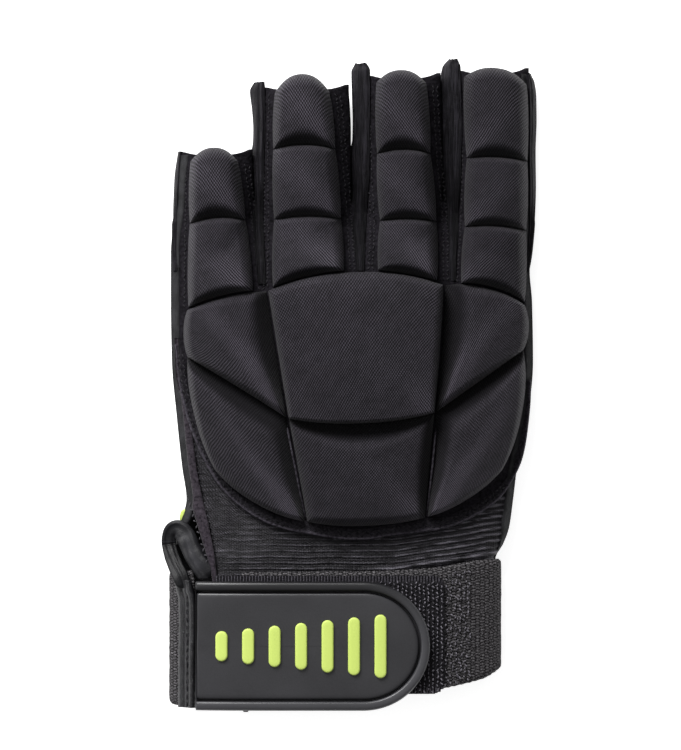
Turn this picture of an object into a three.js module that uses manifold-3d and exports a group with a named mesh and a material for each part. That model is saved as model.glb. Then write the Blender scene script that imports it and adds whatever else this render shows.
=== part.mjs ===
// Padded half-finger field hockey glove for the left hand, lying palm down.
// Millimetres, +Z up, +Y towards the fingertips, +X towards the thumb side.
import * as THREE from 'three';
import { mergeVertices } from 'three/addons/utils/BufferGeometryUtils.js';
import Module from 'manifold-3d';

const wasm = await Module();
wasm.setup();

// Driving dimensions
const seamHeight = 6.5; // where the back is sewn to the palm
const gap = 0.3; // air left between neighbouring pieces
const walls = { edge: 1.5, back: 1.5, palm: 1.2 };
const flatShare = 0.8; // share of the palm's width that lies flat
const padGap = 0.45;
const padEdge = 0.9; // thickness of a pad's rim
const padCell = 10; // widest step on a pad's top
const strap = { low: 0.3, high: 2.0 };
const strapPlan = { from: -32, to: -47, bend: 20 }; // its ends at x on the back, its bend at a corner
const patch = { low: 2.3, high: 3.3, left: -40, right: 28.6, top: -57.2, bottom: -92.6, corner: 4 };
const tab = { low: 3.6, face: 6.2, rim: 6.6, groove: 5.3 };
const tabPlan = { left: -45.9, roundFrom: 4.2, roundLength: 20.1, middle: -78.2, halfWidth: 19.3 };
const tabProfile = [ // how far in from the edge, and how high
  [0, tab.low], [0, tab.rim - 0.5], [0.5, tab.rim], [2.6, tab.rim], [2.9, tab.groove], [3.7, tab.groove],
  [4, tab.face],
];
const tabEdge = { left: -50.1, right: -46.3, low: 2.3, high: 4.4, top: -60.5, bottom: -96.6 };
const sideTag = { x: -49.6, y: -40.7, width: 2.6, length: 3, thickness: 0.8 };
const hemTag = { x: -30.9, halfWidth: 2, top: -93, bottom: -97.95, corner: 0.8 };
const rib = { pitch: 1.8, depth: 0.7, from: -55.0, to: -22.6, slopeFrom: 13, slope: 0.12 };
const rimSize = { width: 1.5, thickness: 1.0, steps: 30 };
const thumbHole = { x: 36, y: -13, halfWidth: 12, halfLength: 17, binding: 1.9 };
const cuffLine = -48; // the cuff's underside starts here
const fingerRoot = 34; // and the fingers' pieces here
const fingerCuts = [-90, -27.55, 2.85, 30.6, 90]; // lines between them
const far = 90;
const beyond = 120;

const table = (columns, rows) => rows.map((row) =>
  Object.fromEntries(columns.split(' ').map((column, index) => [column, row[index]])));

// Hand and wrist, from the wrist end to the roots of the fingers
const handRows = table('y left right floor rise power round', [
  [-99.0, -52.2, 43.9, 2.0, 11.0, 4.0, 0.45],
  [-52.3, -52.2, 43.9, 2.0, 11.0, 4.0, 0.45],
  [-48.0, -52.4, 46.2, 0.4, 10.6, 3.0, 0.5],
  [-43.0, -51.2, 48.0, 0.0, 10.5, 2.8, 0.52],
  [-34.6, -48.7, 49.2, 0.0, 10.5, 2.5, 0.55],
  [-25.0, -50.0, 50.4, 0.0, 10.7, 2.3, 0.6],
  [-10.0, -51.6, 53.6, 0.0, 11.0, 2.2, 0.6],
  [7.0, -53.1, 55.2, 0.0, 11.5, 2.2, 0.6],
  [25.0, -53.4, 54.9, 0.0, 11.4, 2.2, 0.6],
  [34.0, -53.4, 54.2, 0.0, 10.0, 2.2, 0.6],
  [43.0, -53.4, 54.9, 0.0, 6.5, 2.2, 0.6],
  [52.0, -53.4, 55.2, 0.0, 3.0, 2.2, 0.6],
]);

// Finger tubes, from inside the hand to the open tips
const fingerColumns = 'y left right floor rise power round';
const fingerRows = {
  pinky: table(fingerColumns, [
    [28.0, -45.0, -28.4, 0.0, 3.0, 2.0, 0.6],
    [38.0, -50.6, -28.5, 0.0, 5.4, 2.0, 0.6],
    [46.0, -51.7, -28.7, 0.0, 6.2, 2.0, 0.6],
    [58.0, -51.7, -28.8, 0.0, 6.0, 2.0, 0.6],
    [69.0, -50.6, -29.0, 0.0, 5.4, 2.0, 0.6],
  ]),
  ring: table(fingerColumns, [
    [28.0, -28.0, 0.4, 0.0, 7.0, 2.0, 0.6],
    [46.0, -26.4, 0.5, 0.0, 6.4, 2.0, 0.6],
    [76.0, -26.0, 0.6, 0.0, 6.0, 2.0, 0.6],
    [88.5, -25.6, 0.0, 0.0, 5.4, 2.0, 0.6],
  ]),
  middle: table(fingerColumns, [
    [28.0, 2.0, 27.9, 0.0, 7.0, 2.0, 0.6],
    [46.0, 5.2, 28.2, 0.0, 6.4, 2.0, 0.6],
    [78.0, 5.8, 28.0, 0.0, 6.0, 2.0, 0.6],
    [92.0, 5.9, 27.6, 0.0, 5.4, 2.0, 0.6],
  ]),
  index: table(fingerColumns, [
    [28.0, 31.5, 46.5, 0.0, 3.0, 2.0, 0.6],
    [38.0, 32.4, 52.8, 0.0, 5.0, 2.0, 0.6],
    [46.0, 33.0, 54.6, 0.0, 6.4, 2.0, 0.6],
    [78.0, 33.4, 54.9, 0.0, 6.0, 2.0, 0.6],
    [93.5, 33.2, 54.2, 0.0, 5.4, 2.0, 0.6],
  ]),
};

// Foam pads: corners (top left, top right, bottom right, bottom left), how far each side bows
// outwards, the width of the slope along each side, and the height above the back
const padRows = table(
  'name tlx tly trx try brx bry blx bly bowT bowR bowB bowL slopeT slopeR slopeB slopeL height', [
    ['pinky_1', -48, 68, -33.3, 68.2, -30.9, 49.7, -48, 48.5, 3.3, 0.6, -1.2, 0.9, 4, 6, 4.5, 6, 7.2],
    ['pinky_2', -48.3, 47.7, -30.7, 48.9, -28.4, 28, -48.3, 23.6, 1.5, 0.9, -0.9, 1.2, 2, 6, 4.5, 6, 7.6],
    ['ring_1', -22.5, 89.6, -5.7, 89.6, -3.9, 71, -23.1, 70.8, 3.6, 0.3, -1.2, 0.3, 4, 6, 4.5, 6, 7.6],
    ['ring_2', -23.1, 70.2, -3.6, 70.2, -2.1, 50, -22.5, 49.8, 1.5, 0.3, -0.9, 0.3, 2, 6, 4.5, 6, 7.8],
    ['ring_3', -22.5, 49.2, -2.1, 49.4, -1.2, 34.2, -23.1, 30.5, 0.9, 0.3, -0.9, 0.3, 2, 6, 4.5, 6, 7.8],
    ['middle_1', 7.8, 91.7, 23.1, 91.7, 24.6, 69.6, 8.1, 69.6, 2.7, 0.6, -1.2, 0.3, 4, 6, 4.5, 6, 7.6],
    ['middle_2', 8.1, 68.8, 24.9, 68.8, 26.4, 49.3, 9, 49.6, 1.5, 0.3, -0.6, 0.3, 2, 6, 4.5, 6, 7.8],
    ['middle_3', 9, 48.7, 26.7, 48.4, 26.7, 31.2, 8.4, 34.6, 0.9, 0.3, -0.9, 0.3, 2, 6, 4.5, 6, 7.8],
    ['index_1', 34.8, 93.8, 52.5, 92.9, 54, 67.6, 35.1, 68.5, 1.8, 0.9, -0.6, 0.6, 4, 6, 4.5, 6, 7.6],
    ['index_2', 35.1, 67.6, 54, 66.4, 53.7, 46.6, 34.5, 47.8, 0.9, 0.6, -0.9, 0.6, 2, 6, 4.5, 6, 7.8],
    ['index_3', 34.5, 46.8, 53.7, 45.6, 53.2, 25.2, 33.3, 30.2, 0.9, 0.6, -1.5, 0.6, 2, 6, 4.5, 6, 7.8],
    ['knuckle', -24.2, 28.1, 28.1, 29.9, 25.4, -8, -17.8, -10.4, 4.9, 0.3, 2.4, 0, 2.2, 2.4, 3, 2.4, 10],
    ['pinky_upper', -48.9, 22.2, -24.8, 27.6, -18.7, -8, -48.9, 10, 1.2, 0, -0.6, 1.2, 2.5, 6, 5, 4, 7.6],
    ['pinky_lower', -48.6, 6.6, -19, -10.3, -13.2, -41, -40.5, -25.3, 0, 0, 2.8, 2.2, 6, 5, 4, 4, 7.4],
    ['centre_lower', -17.2, -13.9, 24.5, -12.1, 22.6, -39.4, -12.2, -41, -2.1, 0, 1.9, 0, 5, 2.6, 3, 2.6, 7.8],
    ['index_lower', 26.8, -8.6, 52.6, 9.4, 46.2, -25.5, 23.4, -39.9, 0, 3, 2, 0, 6, 4, 4, 5, 7.4],
    ['index_upper', 29.1, 29.5, 53.1, 23.7, 52.8, 11.7, 26.9, -5.8, 2.3, 1.5, 0, 0, 2.5, 4, 5, 6, 7.6],
  ]);

// Outer edge of the stitched rim round the lower pads, from the little-finger side round
const rimPoints = table('x y', [
  [-52.6, 12], [-50.9, -1.6], [-46.5, -16.6], [-38.1, -31.6], [-24.3, -41.8], [-5.7, -46],
  [4.8, -46.6], [14.1, -45.2], [27.3, -43.6], [36.6, -40.2], [45.0, -34.6], [50.4, -26.8],
  [53.0, -19.3], [54.6, -7], [54.9, 1.4],
]);
// Line between the side band and the rib panel
const bandPoints = table('x y', [
  [-48.9, -6], [-46.8, -16.6], [-45.6, -25.6], [-43.8, -34.6], [-41.7, -43.6], [-39.9, -53.3],
  [-39.4, -60],
]);
const bandTop = 20; // past the band's upper tip
// Edge of the slit on the back of the glove
const slitPoints = table('x y', [
  [-49.4, -31.4], [-48.3, -34.6], [-43.2, -48.2], [-40.8, -53.6], [-40.2, -60.2], [-39.9, -99],
]);
// The wrist end is trimmed along a slanting line
const wristEnd = { left: -98.4, right: -81 };

// Standing leather strips beside the fingers: outer and inner edge seen from above
const stripColumns = 'y outer inner low high';
const stripRows = {
  gusset_ring: table(stripColumns, [
    [52.6, -28.4, -27.0, 7.2, 10.5], [66, -29.0, -26.7, 7.0, 12.0],
    [80, -29.8, -26.5, 5.5, 12.5], [90.5, -30.2, -26.2, 4.5, 13.0],
  ]),
  gusset_middle: table(stripColumns, [
    [52.6, 3.2, 4.8, 4, 10], [60, 1.7, 5.1, 4, 11], [76, 1.8, 5.3, 3.5, 12],
    [88, 1.7, 5.4, 3.5, 12.5], [96.3, 1.3, 5.3, 4.5, 12.5],
  ]),
  gusset_index: table(stripColumns, [
    [52.6, 30.6, 32.5, 4, 10], [60, 30.0, 32.7, 4, 11], [76, 29.3, 32.9, 3.5, 12],
    [88, 28.9, 32.9, 3.5, 12.5], [97.8, 28.8, 32.8, 4.5, 13],
  ]),
  edge_index: table(stripColumns, [
    [52.6, 56.5, 55.3, 3, 9], [70, 56.4, 55.2, 3, 10], [87, 56.7, 55.2, 3, 11], [94, 55.8, 54.5, 4, 11],
  ]),
  edge_pinky: table(stripColumns, [
    [52.6, -53.5, -52.2, 3, 9], [60, -53.3, -52.1, 3, 10], [70.4, -51.9, -50.9, 4, 11],
  ]),
};
const stripThickness = 1.1;

// Edges of the elastic strap, by the distance round the wrist from the top middle
const strapEdges = table('around top bottom', [
  [-30, -56.2, -94.4], [12, -55.8, -93.6], [30, -54.8, -91.4], [44, -52.6, -88.4], [52, -52.4, -85.6],
  [60, -56.4, -86.6], [76, -56.4, -90], [140, -56.4, -95], [158, -55.8, -96.4], [190, -56.0, -96.6],
]);
// Middle line of the slit binding and its width
const bindingPoints = table('x y z width', [
  [-48.2, -58.8, 18.2, 3.8], [-49.7, -57.0, 17.2, 4.2], [-51.2, -54.2, 14.8, 4.4],
  [-52.9, -50.0, 11.0, 3.8], [-54.4, -46.8, 9.6, 3.4], [-54.9, -44.3, 9.6, 3.2],
  [-53.4, -42.3, 10.2, 3.6], [-50.6, -42.0, 10.8, 4.6], [-48.0, -45.2, 11.8, 5.0],
  [-45.9, -49.2, 13.0, 4.2], [-44.0, -53.2, 14.4, 3.6], [-42.4, -56.8, 15.6, 3.0],
]);
const bindingThickness = 1.5;
// Raised grip ribs on the pull tab
const grip = { count: 7, from: -38, pitch: 7.9, width: 3.6, shortest: 9, longest: 19, low: 6.5, high: 7.3 };

const colours = {
  palm: ['#2a2a2c', 0.75], knit: ['#2c2c2f', 0.85], ribbed: ['#2e2e31', 0.8], felt: ['#323236', 0.95],
  leather: ['#4a4b4f', 0.45], rubber: ['#44464a', 0.5], elastic: ['#2f3033', 0.9], lime: ['#d9f76a', 0.55],
};
const materials = Object.fromEntries(Object.entries(colours).map(([name, [color, roughness]]) =>
  [name, new THREE.MeshStandardMaterial({ name, color, roughness, metalness: 0 })]));

// Linear reading of a table between its rows
function rowAt(rows, value, key = 'y') {
  const above = rows.findIndex((row) => row[key] > value);
  if (above === 0) return rows[0];
  if (above < 0) return rows[rows.length - 1];
  const [low, high] = [rows[above - 1], rows[above]];
  const share = (value - low[key]) / (high[key] - low[key]);
  return Object.fromEntries(Object.keys(low).map((name) => [name, low[name] + share * (high[name] - low[name])]));
}

// Height of the domed back and of the palm at a share u of the half width, -1 to 1
function topAt(row, u, wall = 0) {
  return seamHeight + (row.rise - wall) * Math.max(0, 1 - Math.abs(u) ** row.power) ** row.round;
}

function bottomAt(row, u, wall = 0) {
  const curl = Math.max(0, (Math.abs(u) - flatShare) / (1 - flatShare));
  return row.floor + wall + (seamHeight - row.floor - wall) * curl ** 2;
}

// Height of the outside of the back at any place
function backAt(x, y) {
  const heights = [handRows, ...Object.values(fingerRows)].map((rows) => {
    if (y < rows[0].y || (rows === handRows && y > rows[rows.length - 1].y)) return 0;
    const row = rowAt(rows, y);
    const u = (2 * x - row.left - row.right) / (row.right - row.left);
    return Math.abs(u) <= 1 ? topAt(row, u) : 0;
  });
  return Math.max(seamHeight, ...heights);
}

const steps = (count, from = 0, to = 1) =>
  Array.from({ length: count + 1 }, (_, index) => from + ((to - from) * index) / count);

// Shares of the half width, closer together towards both edges
const acrossShares = steps(12, -1, 1).map((share) => Math.sin((share * Math.PI) / 2));

// A closed body from points and triangles, turned to face outwards
function body(points, triangles) {
  let volume = 0;
  const [a, b, c] = [new THREE.Vector3(), new THREE.Vector3(), new THREE.Vector3()];
  for (const [i, j, k] of triangles) {
    volume += a.fromArray(points[i]).dot(b.fromArray(points[j]).cross(c.fromArray(points[k])));
  }
  const facing = volume < 0 ? triangles.map(([i, j, k]) => [i, k, j]) : triangles;
  const geometry = new THREE.BufferGeometry();
  geometry.setAttribute('position', new THREE.Float32BufferAttribute(points.flat(), 3));
  geometry.setIndex(facing.flat());
  return geometry;
}

const quad = (a, b, c, d) => [[a, b, c], [a, c, d]];

// A tube of rings closed by a fan at each end
function loft(rings) {
  const count = rings[0].length;
  const points = rings.flat();
  const triangles = [];
  for (let ring = 0; ring + 1 < rings.length; ring += 1) {
    for (let k = 0; k < count; k += 1) {
      const next = (k + 1) % count;
      triangles.push(...quad(ring * count + k, ring * count + next,
        (ring + 1) * count + next, (ring + 1) * count + k));
    }
  }
  for (const [ring, last] of [[0, false], [rings.length - 1, true]]) {
    const middle = [0, 1, 2].map((axis) =>
      rings[ring].reduce((sum, point) => sum + point[axis], 0) / count);
    const centre = points.push(middle) - 1;
    for (let k = 0; k < count; k += 1) {
      const edge = [ring * count + k, ring * count + ((k + 1) % count)];
      triangles.push(last ? [...edge, centre] : [edge[1], edge[0], centre]);
    }
  }
  return body(points, triangles);
}

// A slab between two grids of the same size
function slab(upper, lower) {
  const rows = upper.length;
  const count = upper[0].length;
  const points = [...upper.flat(), ...lower.flat()];
  const at = (side, i, j) => side * rows * count + i * count + j;
  const triangles = [];
  for (let i = 0; i + 1 < rows; i += 1) {
    for (let j = 0; j + 1 < count; j += 1) {
      triangles.push(...quad(at(0, i, j), at(0, i, j + 1), at(0, i + 1, j + 1), at(0, i + 1, j)));
      triangles.push(...quad(at(1, i, j), at(1, i + 1, j), at(1, i + 1, j + 1), at(1, i, j + 1)));
    }
  }
  for (let i = 0; i + 1 < rows; i += 1) {
    triangles.push(...quad(at(0, i, 0), at(0, i + 1, 0), at(1, i + 1, 0), at(1, i, 0)));
    triangles.push(...quad(at(0, i + 1, count - 1), at(0, i, count - 1), at(1, i, count - 1), at(1, i + 1, count - 1)));
  }
  for (let j = 0; j + 1 < count; j += 1) {
    triangles.push(...quad(at(0, 0, j + 1), at(0, 0, j), at(1, 0, j), at(1, 0, j + 1)));
    triangles.push(...quad(at(0, rows - 1, j), at(0, rows - 1, j + 1), at(1, rows - 1, j + 1), at(1, rows - 1, j)));
  }
  return body(points, triangles);
}

// Loops stacked on each other, closed below and above by strips from point k to point -k
function stack(loops) {
  const count = loops[0].length;
  const points = loops.flat();
  const triangles = [];
  for (let loop = 0; loop + 1 < loops.length; loop += 1) {
    for (let k = 0; k < count; k += 1) {
      const next = (k + 1) % count;
      triangles.push(...quad(loop * count + k, loop * count + next,
        (loop + 1) * count + next, (loop + 1) * count + k));
    }
  }
  const last = (loops.length - 1) * count;
  for (let k = 0; k + 1 < count - 1 - k; k += 1) {
    const across = count - 1 - k;
    const strip = across - 1 === k + 1 ? [[k, k + 1, across]] : quad(k, k + 1, across - 1, across);
    triangles.push(...strip.map((face) => face.map((index) => index + last)));
    triangles.push(...strip.map(([i, j, l]) => [i, l, j]));
  }
  return body(points, triangles);
}

function solidOf(geometry) {
  const bare = geometry.clone();
  bare.deleteAttribute('normal');
  bare.deleteAttribute('uv');
  const merged = mergeVertices(bare);
  return new wasm.Manifold(new wasm.Mesh({
    numProp: 3,
    vertProperties: new Float32Array(merged.attributes.position.array),
    triVerts: new Uint32Array(merged.index.array),
  }));
}

function geometryOf(solid) {
  const mesh = solid.getMesh();
  const geometry = new THREE.BufferGeometry();
  geometry.setAttribute('position', new THREE.BufferAttribute(mesh.vertProperties, 3));
  geometry.setIndex(new THREE.BufferAttribute(mesh.triVerts, 1));
  return geometry;
}

// An upright block over an outline
function prism(outline, low, high) {
  const shape = new THREE.Shape(outline.map(({ x, y }) => new THREE.Vector2(x, y)));
  const geometry = new THREE.ExtrudeGeometry(shape, { depth: high - low, bevelEnabled: false });
  return solidOf(geometry.translate(0, 0, low));
}

// One cross-section of hand or finger; with walls it is the inside
function sectionRing(row, wall = { edge: 0, back: 0, palm: 0 }) {
  const middle = (row.left + row.right) / 2;
  const half = (row.right - row.left) / 2 - wall.edge;
  const top = acrossShares.map((u) => [middle + half * u, row.y, topAt(row, u, wall.back)]);
  const bottom = [0.93, 0.87, 0.8, -0.8, -0.87, -0.93]
    .map((u) => [middle + half * u, row.y, bottomAt(row, u, wall.palm)]);
  return [...top, ...bottom];
}

function tube(rows, wall, reach = [0, 0]) {
  const rings = rows.map((row, index) => {
    const shift = index === 0 ? -reach[0] : index === rows.length - 1 ? reach[1] : 0;
    return sectionRing({ ...row, y: row.y + shift }, wall);
  });
  return solidOf(loft(rings));
}

// A curve through the points of a table, moved sideways to its left by a distance
function sideLine(points, count, shift = 0) {
  const curve = new THREE.SplineCurve(points.map(({ x, y }) => new THREE.Vector2(x, y)));
  return steps(count).map((share) => {
    const place = curve.getPointAt(share);
    const along = curve.getTangentAt(share);
    return { x: place.x - along.y * shift, y: place.y + along.x * shift };
  });
}

const fingers = Object.values(fingerRows);
const outside = fingers.reduce((sum, rows) => sum.add(tube(rows)), tube(handRows));
const inside = fingers.reduce((sum, rows) => sum.add(tube(rows, walls, [0, 8])),
  tube(handRows, walls, [8, -walls.edge]));
const wristTrim = prism([{ x: -far, y: wristEnd.left }, { x: far, y: wristEnd.right },
  { x: far, y: -beyond }, { x: -far, y: -beyond }], -far, far);

// A block between two lines across and two along the glove
function block(left, right, from, to, low = -far, high = far) {
  return prism([{ x: left, y: from }, { x: right, y: from }, { x: right, y: to }, { x: left, y: to }], low, high);
}
const aboveSeam = block(-far, far, -beyond, beyond, seamHeight + gap / 2);
const belowSeam = block(-far, far, -beyond, beyond, -far, seamHeight - gap / 2);
const handPart = (from = cuffLine + gap / 2) => block(-far, far, from, fingerRoot - gap / 2);
const cuffPart = block(-far, far, -beyond, cuffLine - gap / 2);
const fingerPart = (index) => block(fingerCuts[index] + gap / 2, fingerCuts[index + 1] - gap / 2,
  fingerRoot + gap / 2, beyond);

const slitEnd = slitPoints[slitPoints.length - 1];
const slitCut = prism([...slitPoints, { x: -far, y: slitEnd.y }, { x: -far, y: slitPoints[0].y }], 0, far);
// Everything outside the rim's middle line
function outsideRim(shift) {
  const line = sideLine(rimPoints, rimSize.steps, rimSize.width / 2 + shift);
  return prism([...line, { x: far, y: line[line.length - 1].y }, { x: far, y: -beyond },
    { x: -far, y: -beyond }, { x: -far, y: line[0].y }], 0, far);
}

function bandSide(shift) {
  const line = sideLine(bandPoints, 12, shift);
  const end = line.pop();
  return prism([{ x: -far, y: bandTop }, { x: line[0].x, y: bandTop }, ...line, { x: end.x, y: end.y - shift },
    { x: -far, y: end.y - shift }], 0, far);
}

const backShell = outside.intersect(aboveSeam).subtract(inside).subtract(slitCut).subtract(wristTrim);
const lowerBack = backShell.intersect(outsideRim(-gap / 2));

// Ribs run across the hand and climb towards the thumb side
const ribLift = (x) => rib.slope * Math.max(0, x - rib.slopeFrom);

// A solid block with a ribbed top that follows the back
function ribBlock() {
  const count = Math.round((rib.to - rib.from) / (rib.pitch / 2));
  const place = (y, u) => {
    const row = rowAt(handRows, y);
    return (row.left + row.right) / 2 + ((row.right - row.left) / 2) * u;
  };
  const upper = steps(count, rib.from, rib.to).map((y, index) => acrossShares.map((u) => {
    const lifted = y + ribLift(place(y, u));
    const crest = index % 2 === 1 ? rib.depth / 2 : -rib.depth / 2;
    return [place(lifted, u), lifted, topAt(rowAt(handRows, lifted), u) + crest];
  }));
  const lower = upper.map((row) => row.map(([x, y]) => [x, y, 0]));
  return solidOf(slab(upper, lower));
}

// Ribbed in front of the strap and plain beneath it
function ribPanel() {
  const region = outsideRim(-gap / 2).subtract(bandSide(gap / 2)).subtract(slitCut).subtract(wristTrim);
  const start = rib.from + rib.pitch / 4;
  const plainPart = prism([{ x: -far, y: -beyond }, { x: far, y: -beyond },
    { x: far, y: start + ribLift(far) }, { x: rib.slopeFrom, y: start }, { x: -far, y: start }], 0, far);
  return ribBlock().add(outside.intersect(plainPart)).intersect(aboveSeam).subtract(inside).intersect(region);
}

function padGeometry(pad) {
  const corner = {
    tl: [pad.tlx, pad.tly], tr: [pad.trx, pad.try], br: [pad.brx, pad.bry], bl: [pad.blx, pad.bly],
  };
  // A side between two corners that bows outwards, to the left of its direction
  const side = (from, to, bow) => (share) => {
    const [dx, dy] = [to[0] - from[0], to[1] - from[1]];
    const push = (bow * 4 * share * (1 - share)) / Math.hypot(dx, dy);
    return [from[0] + dx * share - dy * push, from[1] + dy * share + dx * push];
  };
  const top = side(corner.tl, corner.tr, pad.bowT);
  const right = side(corner.tr, corner.br, pad.bowR);
  const bottom = side(corner.br, corner.bl, pad.bowB);
  const left = side(corner.bl, corner.tl, pad.bowL);
  const span = (from, to) => Math.hypot(to[0] - from[0], to[1] - from[1]);
  const width = (span(corner.tl, corner.tr) + span(corner.bl, corner.br)) / 2;
  const length = (span(corner.tr, corner.br) + span(corner.tl, corner.bl)) / 2;
  const place = (u, v) => [0, 1].map((axis) =>
    (1 - v) * top(u)[axis] + v * bottom(1 - u)[axis] + (1 - u) * left(1 - v)[axis] + u * right(v)[axis]
    - (1 - u) * (1 - v) * corner.tl[axis] - u * (1 - v) * corner.tr[axis]
    - u * v * corner.br[axis] - (1 - u) * v * corner.bl[axis]);
  // A quarter circle from the rim up to the full height
  const slope = (distance, reach) => Math.sqrt(1 - Math.max(0, 1 - distance / reach) ** 2);
  const height = (u, v) => padEdge + (pad.height - padEdge)
    * slope(v * length, pad.slopeT) * slope((1 - v) * length, pad.slopeB)
    * slope(u * width, pad.slopeL) * slope((1 - u) * width, pad.slopeR);
  // Shares along a side: two on each slope and the rest evenly between
  const marks = (size, first, second) => {
    const [from, to] = [(0.75 * first) / size, 1 - (0.75 * second) / size];
    const middle = steps(Math.max(2, Math.round(size / padCell)), from, to);
    return [0, from / 3, ...middle, 1 - (1 - to) / 3, 1];
  };
  const across = marks(width, pad.slopeL, pad.slopeR);
  const along = marks(length, pad.slopeT, pad.slopeB);
  const lower = along.map((v) => across.map((u) => {
    const [x, y] = place(u, v);
    return [x, y, backAt(x, y) + padGap];
  }));
  const upper = lower.map((row, i) => row.map(([x, y, z], j) => [x, y, z + height(across[j], along[i])]));
  return slab(upper, lower);
}

function rimGeometry() {
  const outer = sideLine(rimPoints, rimSize.steps);
  const inner = sideLine(rimPoints, rimSize.steps, rimSize.width);
  const level = (height) => [outer, inner].map((line) => line.map(({ x, y }) => [x, y, backAt(x, y) + height]));
  return slab(level(rib.depth / 2 + gap + rimSize.thickness), level(rib.depth / 2 + gap));
}

function stripGeometry(rows) {
  return loft(rows.map(({ y, outer, inner, low, high }) => {
    const thick = Math.sign(inner - outer) * stripThickness;
    return [[inner - thick, y, low], [inner, y, low], [outer + thick, y, high], [outer, y, high]];
  }));
}

// The wrist's outline as a walk round it, starting at the top middle towards the thumb side
const topSteps = 80;
const wristWalk = (() => {
  const row = handRows[0];
  const middle = (row.left + row.right) / 2;
  const half = (row.right - row.left) / 2;
  const upper = steps(topSteps, 0, 1).map((share) => Math.sin((share * Math.PI) / 2));
  const lower = steps(60, 1, 0);
  const rightSide = [...upper.map((u) => [half * u, topAt(row, u)]),
    ...lower.slice(1).map((u) => [half * u, bottomAt(row, u)])];
  const leftSide = rightSide.slice(1, -1).reverse().map(([x, z]) => [-x, z]);
  const outline = [...rightSide, ...leftSide, rightSide[0]].map(([x, z]) => [middle + x, z]);
  let distance = 0;
  return outline.map(([x, z], index) => {
    if (index) distance += Math.hypot(x - outline[index - 1][0], z - outline[index - 1][1]);
    return { distance, x, z };
  });
})();
const wristRound = wristWalk[wristWalk.length - 1].distance;

// A point lifted off the wrist by a height, at a distance round it
function onWrist(around, y, height) {
  const walk = ((around % wristRound) + wristRound) % wristRound;
  const here = rowAt(wristWalk, walk, 'distance');
  const reach = 2.5;
  const before = rowAt(wristWalk, (walk - reach + wristRound) % wristRound, 'distance');
  const after = rowAt(wristWalk, (walk + reach) % wristRound, 'distance');
  const along = new THREE.Vector2(after.x - before.x, after.z - before.z).normalize();
  return [here.x - along.y * height, y, here.z + along.x * height];
}

// Distance round the wrist at which a point lifted by a height lies at x, on the top
function aroundAt(x, height) {
  const middle = wristWalk[0].x;
  const lifted = wristWalk.slice(0, topSteps + 1)
    .map(({ distance }) => ({ distance, x: onWrist(distance, 0, height)[0] }));
  return Math.sign(x - middle) * rowAt(lifted, Math.abs(x - middle) + middle, 'x').distance;
}

function strapGeometry() {
  const start = aroundAt(strapPlan.from, strap.high);
  const end = wristRound + aroundAt(strapPlan.to, strap.high);
  const corner = wristWalk[topSteps].distance;
  const { bend } = strapPlan;
  const walk = [...steps(5, start, corner - bend), ...steps(7, corner - bend, corner).slice(1),
    ...steps(3, corner, corner + bend / 2).slice(1),
    ...steps(4, corner + bend / 2, wristRound - corner - bend / 2).slice(1),
    ...steps(3, wristRound - corner - bend / 2, wristRound - corner).slice(1),
    ...steps(5, wristRound - corner, end).slice(1)];
  const level = (height) => walk.map((around) => {
    const edges = rowAt(strapEdges, around, 'around');
    return [onWrist(around, edges.top, height), onWrist(around, edges.bottom, height)];
  });
  return slab(level(strap.high), level(strap.low));
}

function patchGeometry() {
  const { left, right, top, bottom, corner } = patch;
  const walk = [...steps(9, left, right - corner), right - corner * 0.4, right];
  const level = (height) => walk.map((x) => {
    const turn = corner - Math.sqrt(Math.max(0, corner ** 2 - Math.max(0, x - right + corner) ** 2));
    return [top - turn, bottom + turn].map((y) => onWrist(aroundAt(x, patch.high), y, height));
  });
  return slab(level(patch.high), level(patch.low));
}

// The pull tab's outline, drawn in from its edge by a distance
function tabLoop(inset, height, step) {
  const halfWidth = tabPlan.halfWidth - inset;
  const roundLength = tabPlan.roundLength - inset;
  const straight = steps(7, tabPlan.left + 0.15 * step, tabPlan.roundFrom).slice(0, -1)
    .map((x) => [x, halfWidth]);
  const round = steps(8, 0, 1).slice(0, -1).map((share) => (share * Math.PI) / 2)
    .map((angle) => [tabPlan.roundFrom + roundLength * Math.sin(angle), halfWidth * Math.cos(angle)]);
  const upperSide = [...straight, ...round];
  const lowerSide = upperSide.slice().reverse().map(([x, y]) => [x, -y]);
  return [...upperSide, ...lowerSide].map(([x, y]) => onWrist(aroundAt(x, tab.face), tabPlan.middle + y, height));
}

function tabGeometry() {
  return stack(tabProfile.map(([inset, height], index) => tabLoop(inset, height, index)));
}

function tabEdgeGeometry() {
  const level = (height) => steps(2, tabEdge.left, tabEdge.right)
    .map((x) => [tabEdge.top, tabEdge.bottom].map((y) => onWrist(aroundAt(x, tabEdge.high), y, height)));
  return slab(level(tabEdge.high), level(tabEdge.low));
}

// A flat strip carried along the binding's line
function bindingGeometry() {
  const curve = new THREE.CatmullRomCurve3(bindingPoints.map(({ x, y, z }) => new THREE.Vector3(x, y, z)));
  const last = bindingPoints.length - 1;
  const profile = [[-0.5, 0], [-0.35, 0.5], [0.35, 0.5], [0.5, 0], [0.35, -0.5], [-0.35, -0.5]];
  return loft(steps(20).map((share) => {
    const place = curve.getPoint(share);
    const along = curve.getTangent(share);
    const { width } = bindingPoints[Math.round(share * last)];
    const across = new THREE.Vector3().crossVectors(along, new THREE.Vector3(0, 0, 1)).normalize();
    const up = new THREE.Vector3().crossVectors(across, along).normalize();
    return profile.map(([a, b]) => place.clone()
      .addScaledVector(across, a * width).addScaledVector(up, b * bindingThickness).toArray());
  }));
}

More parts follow.
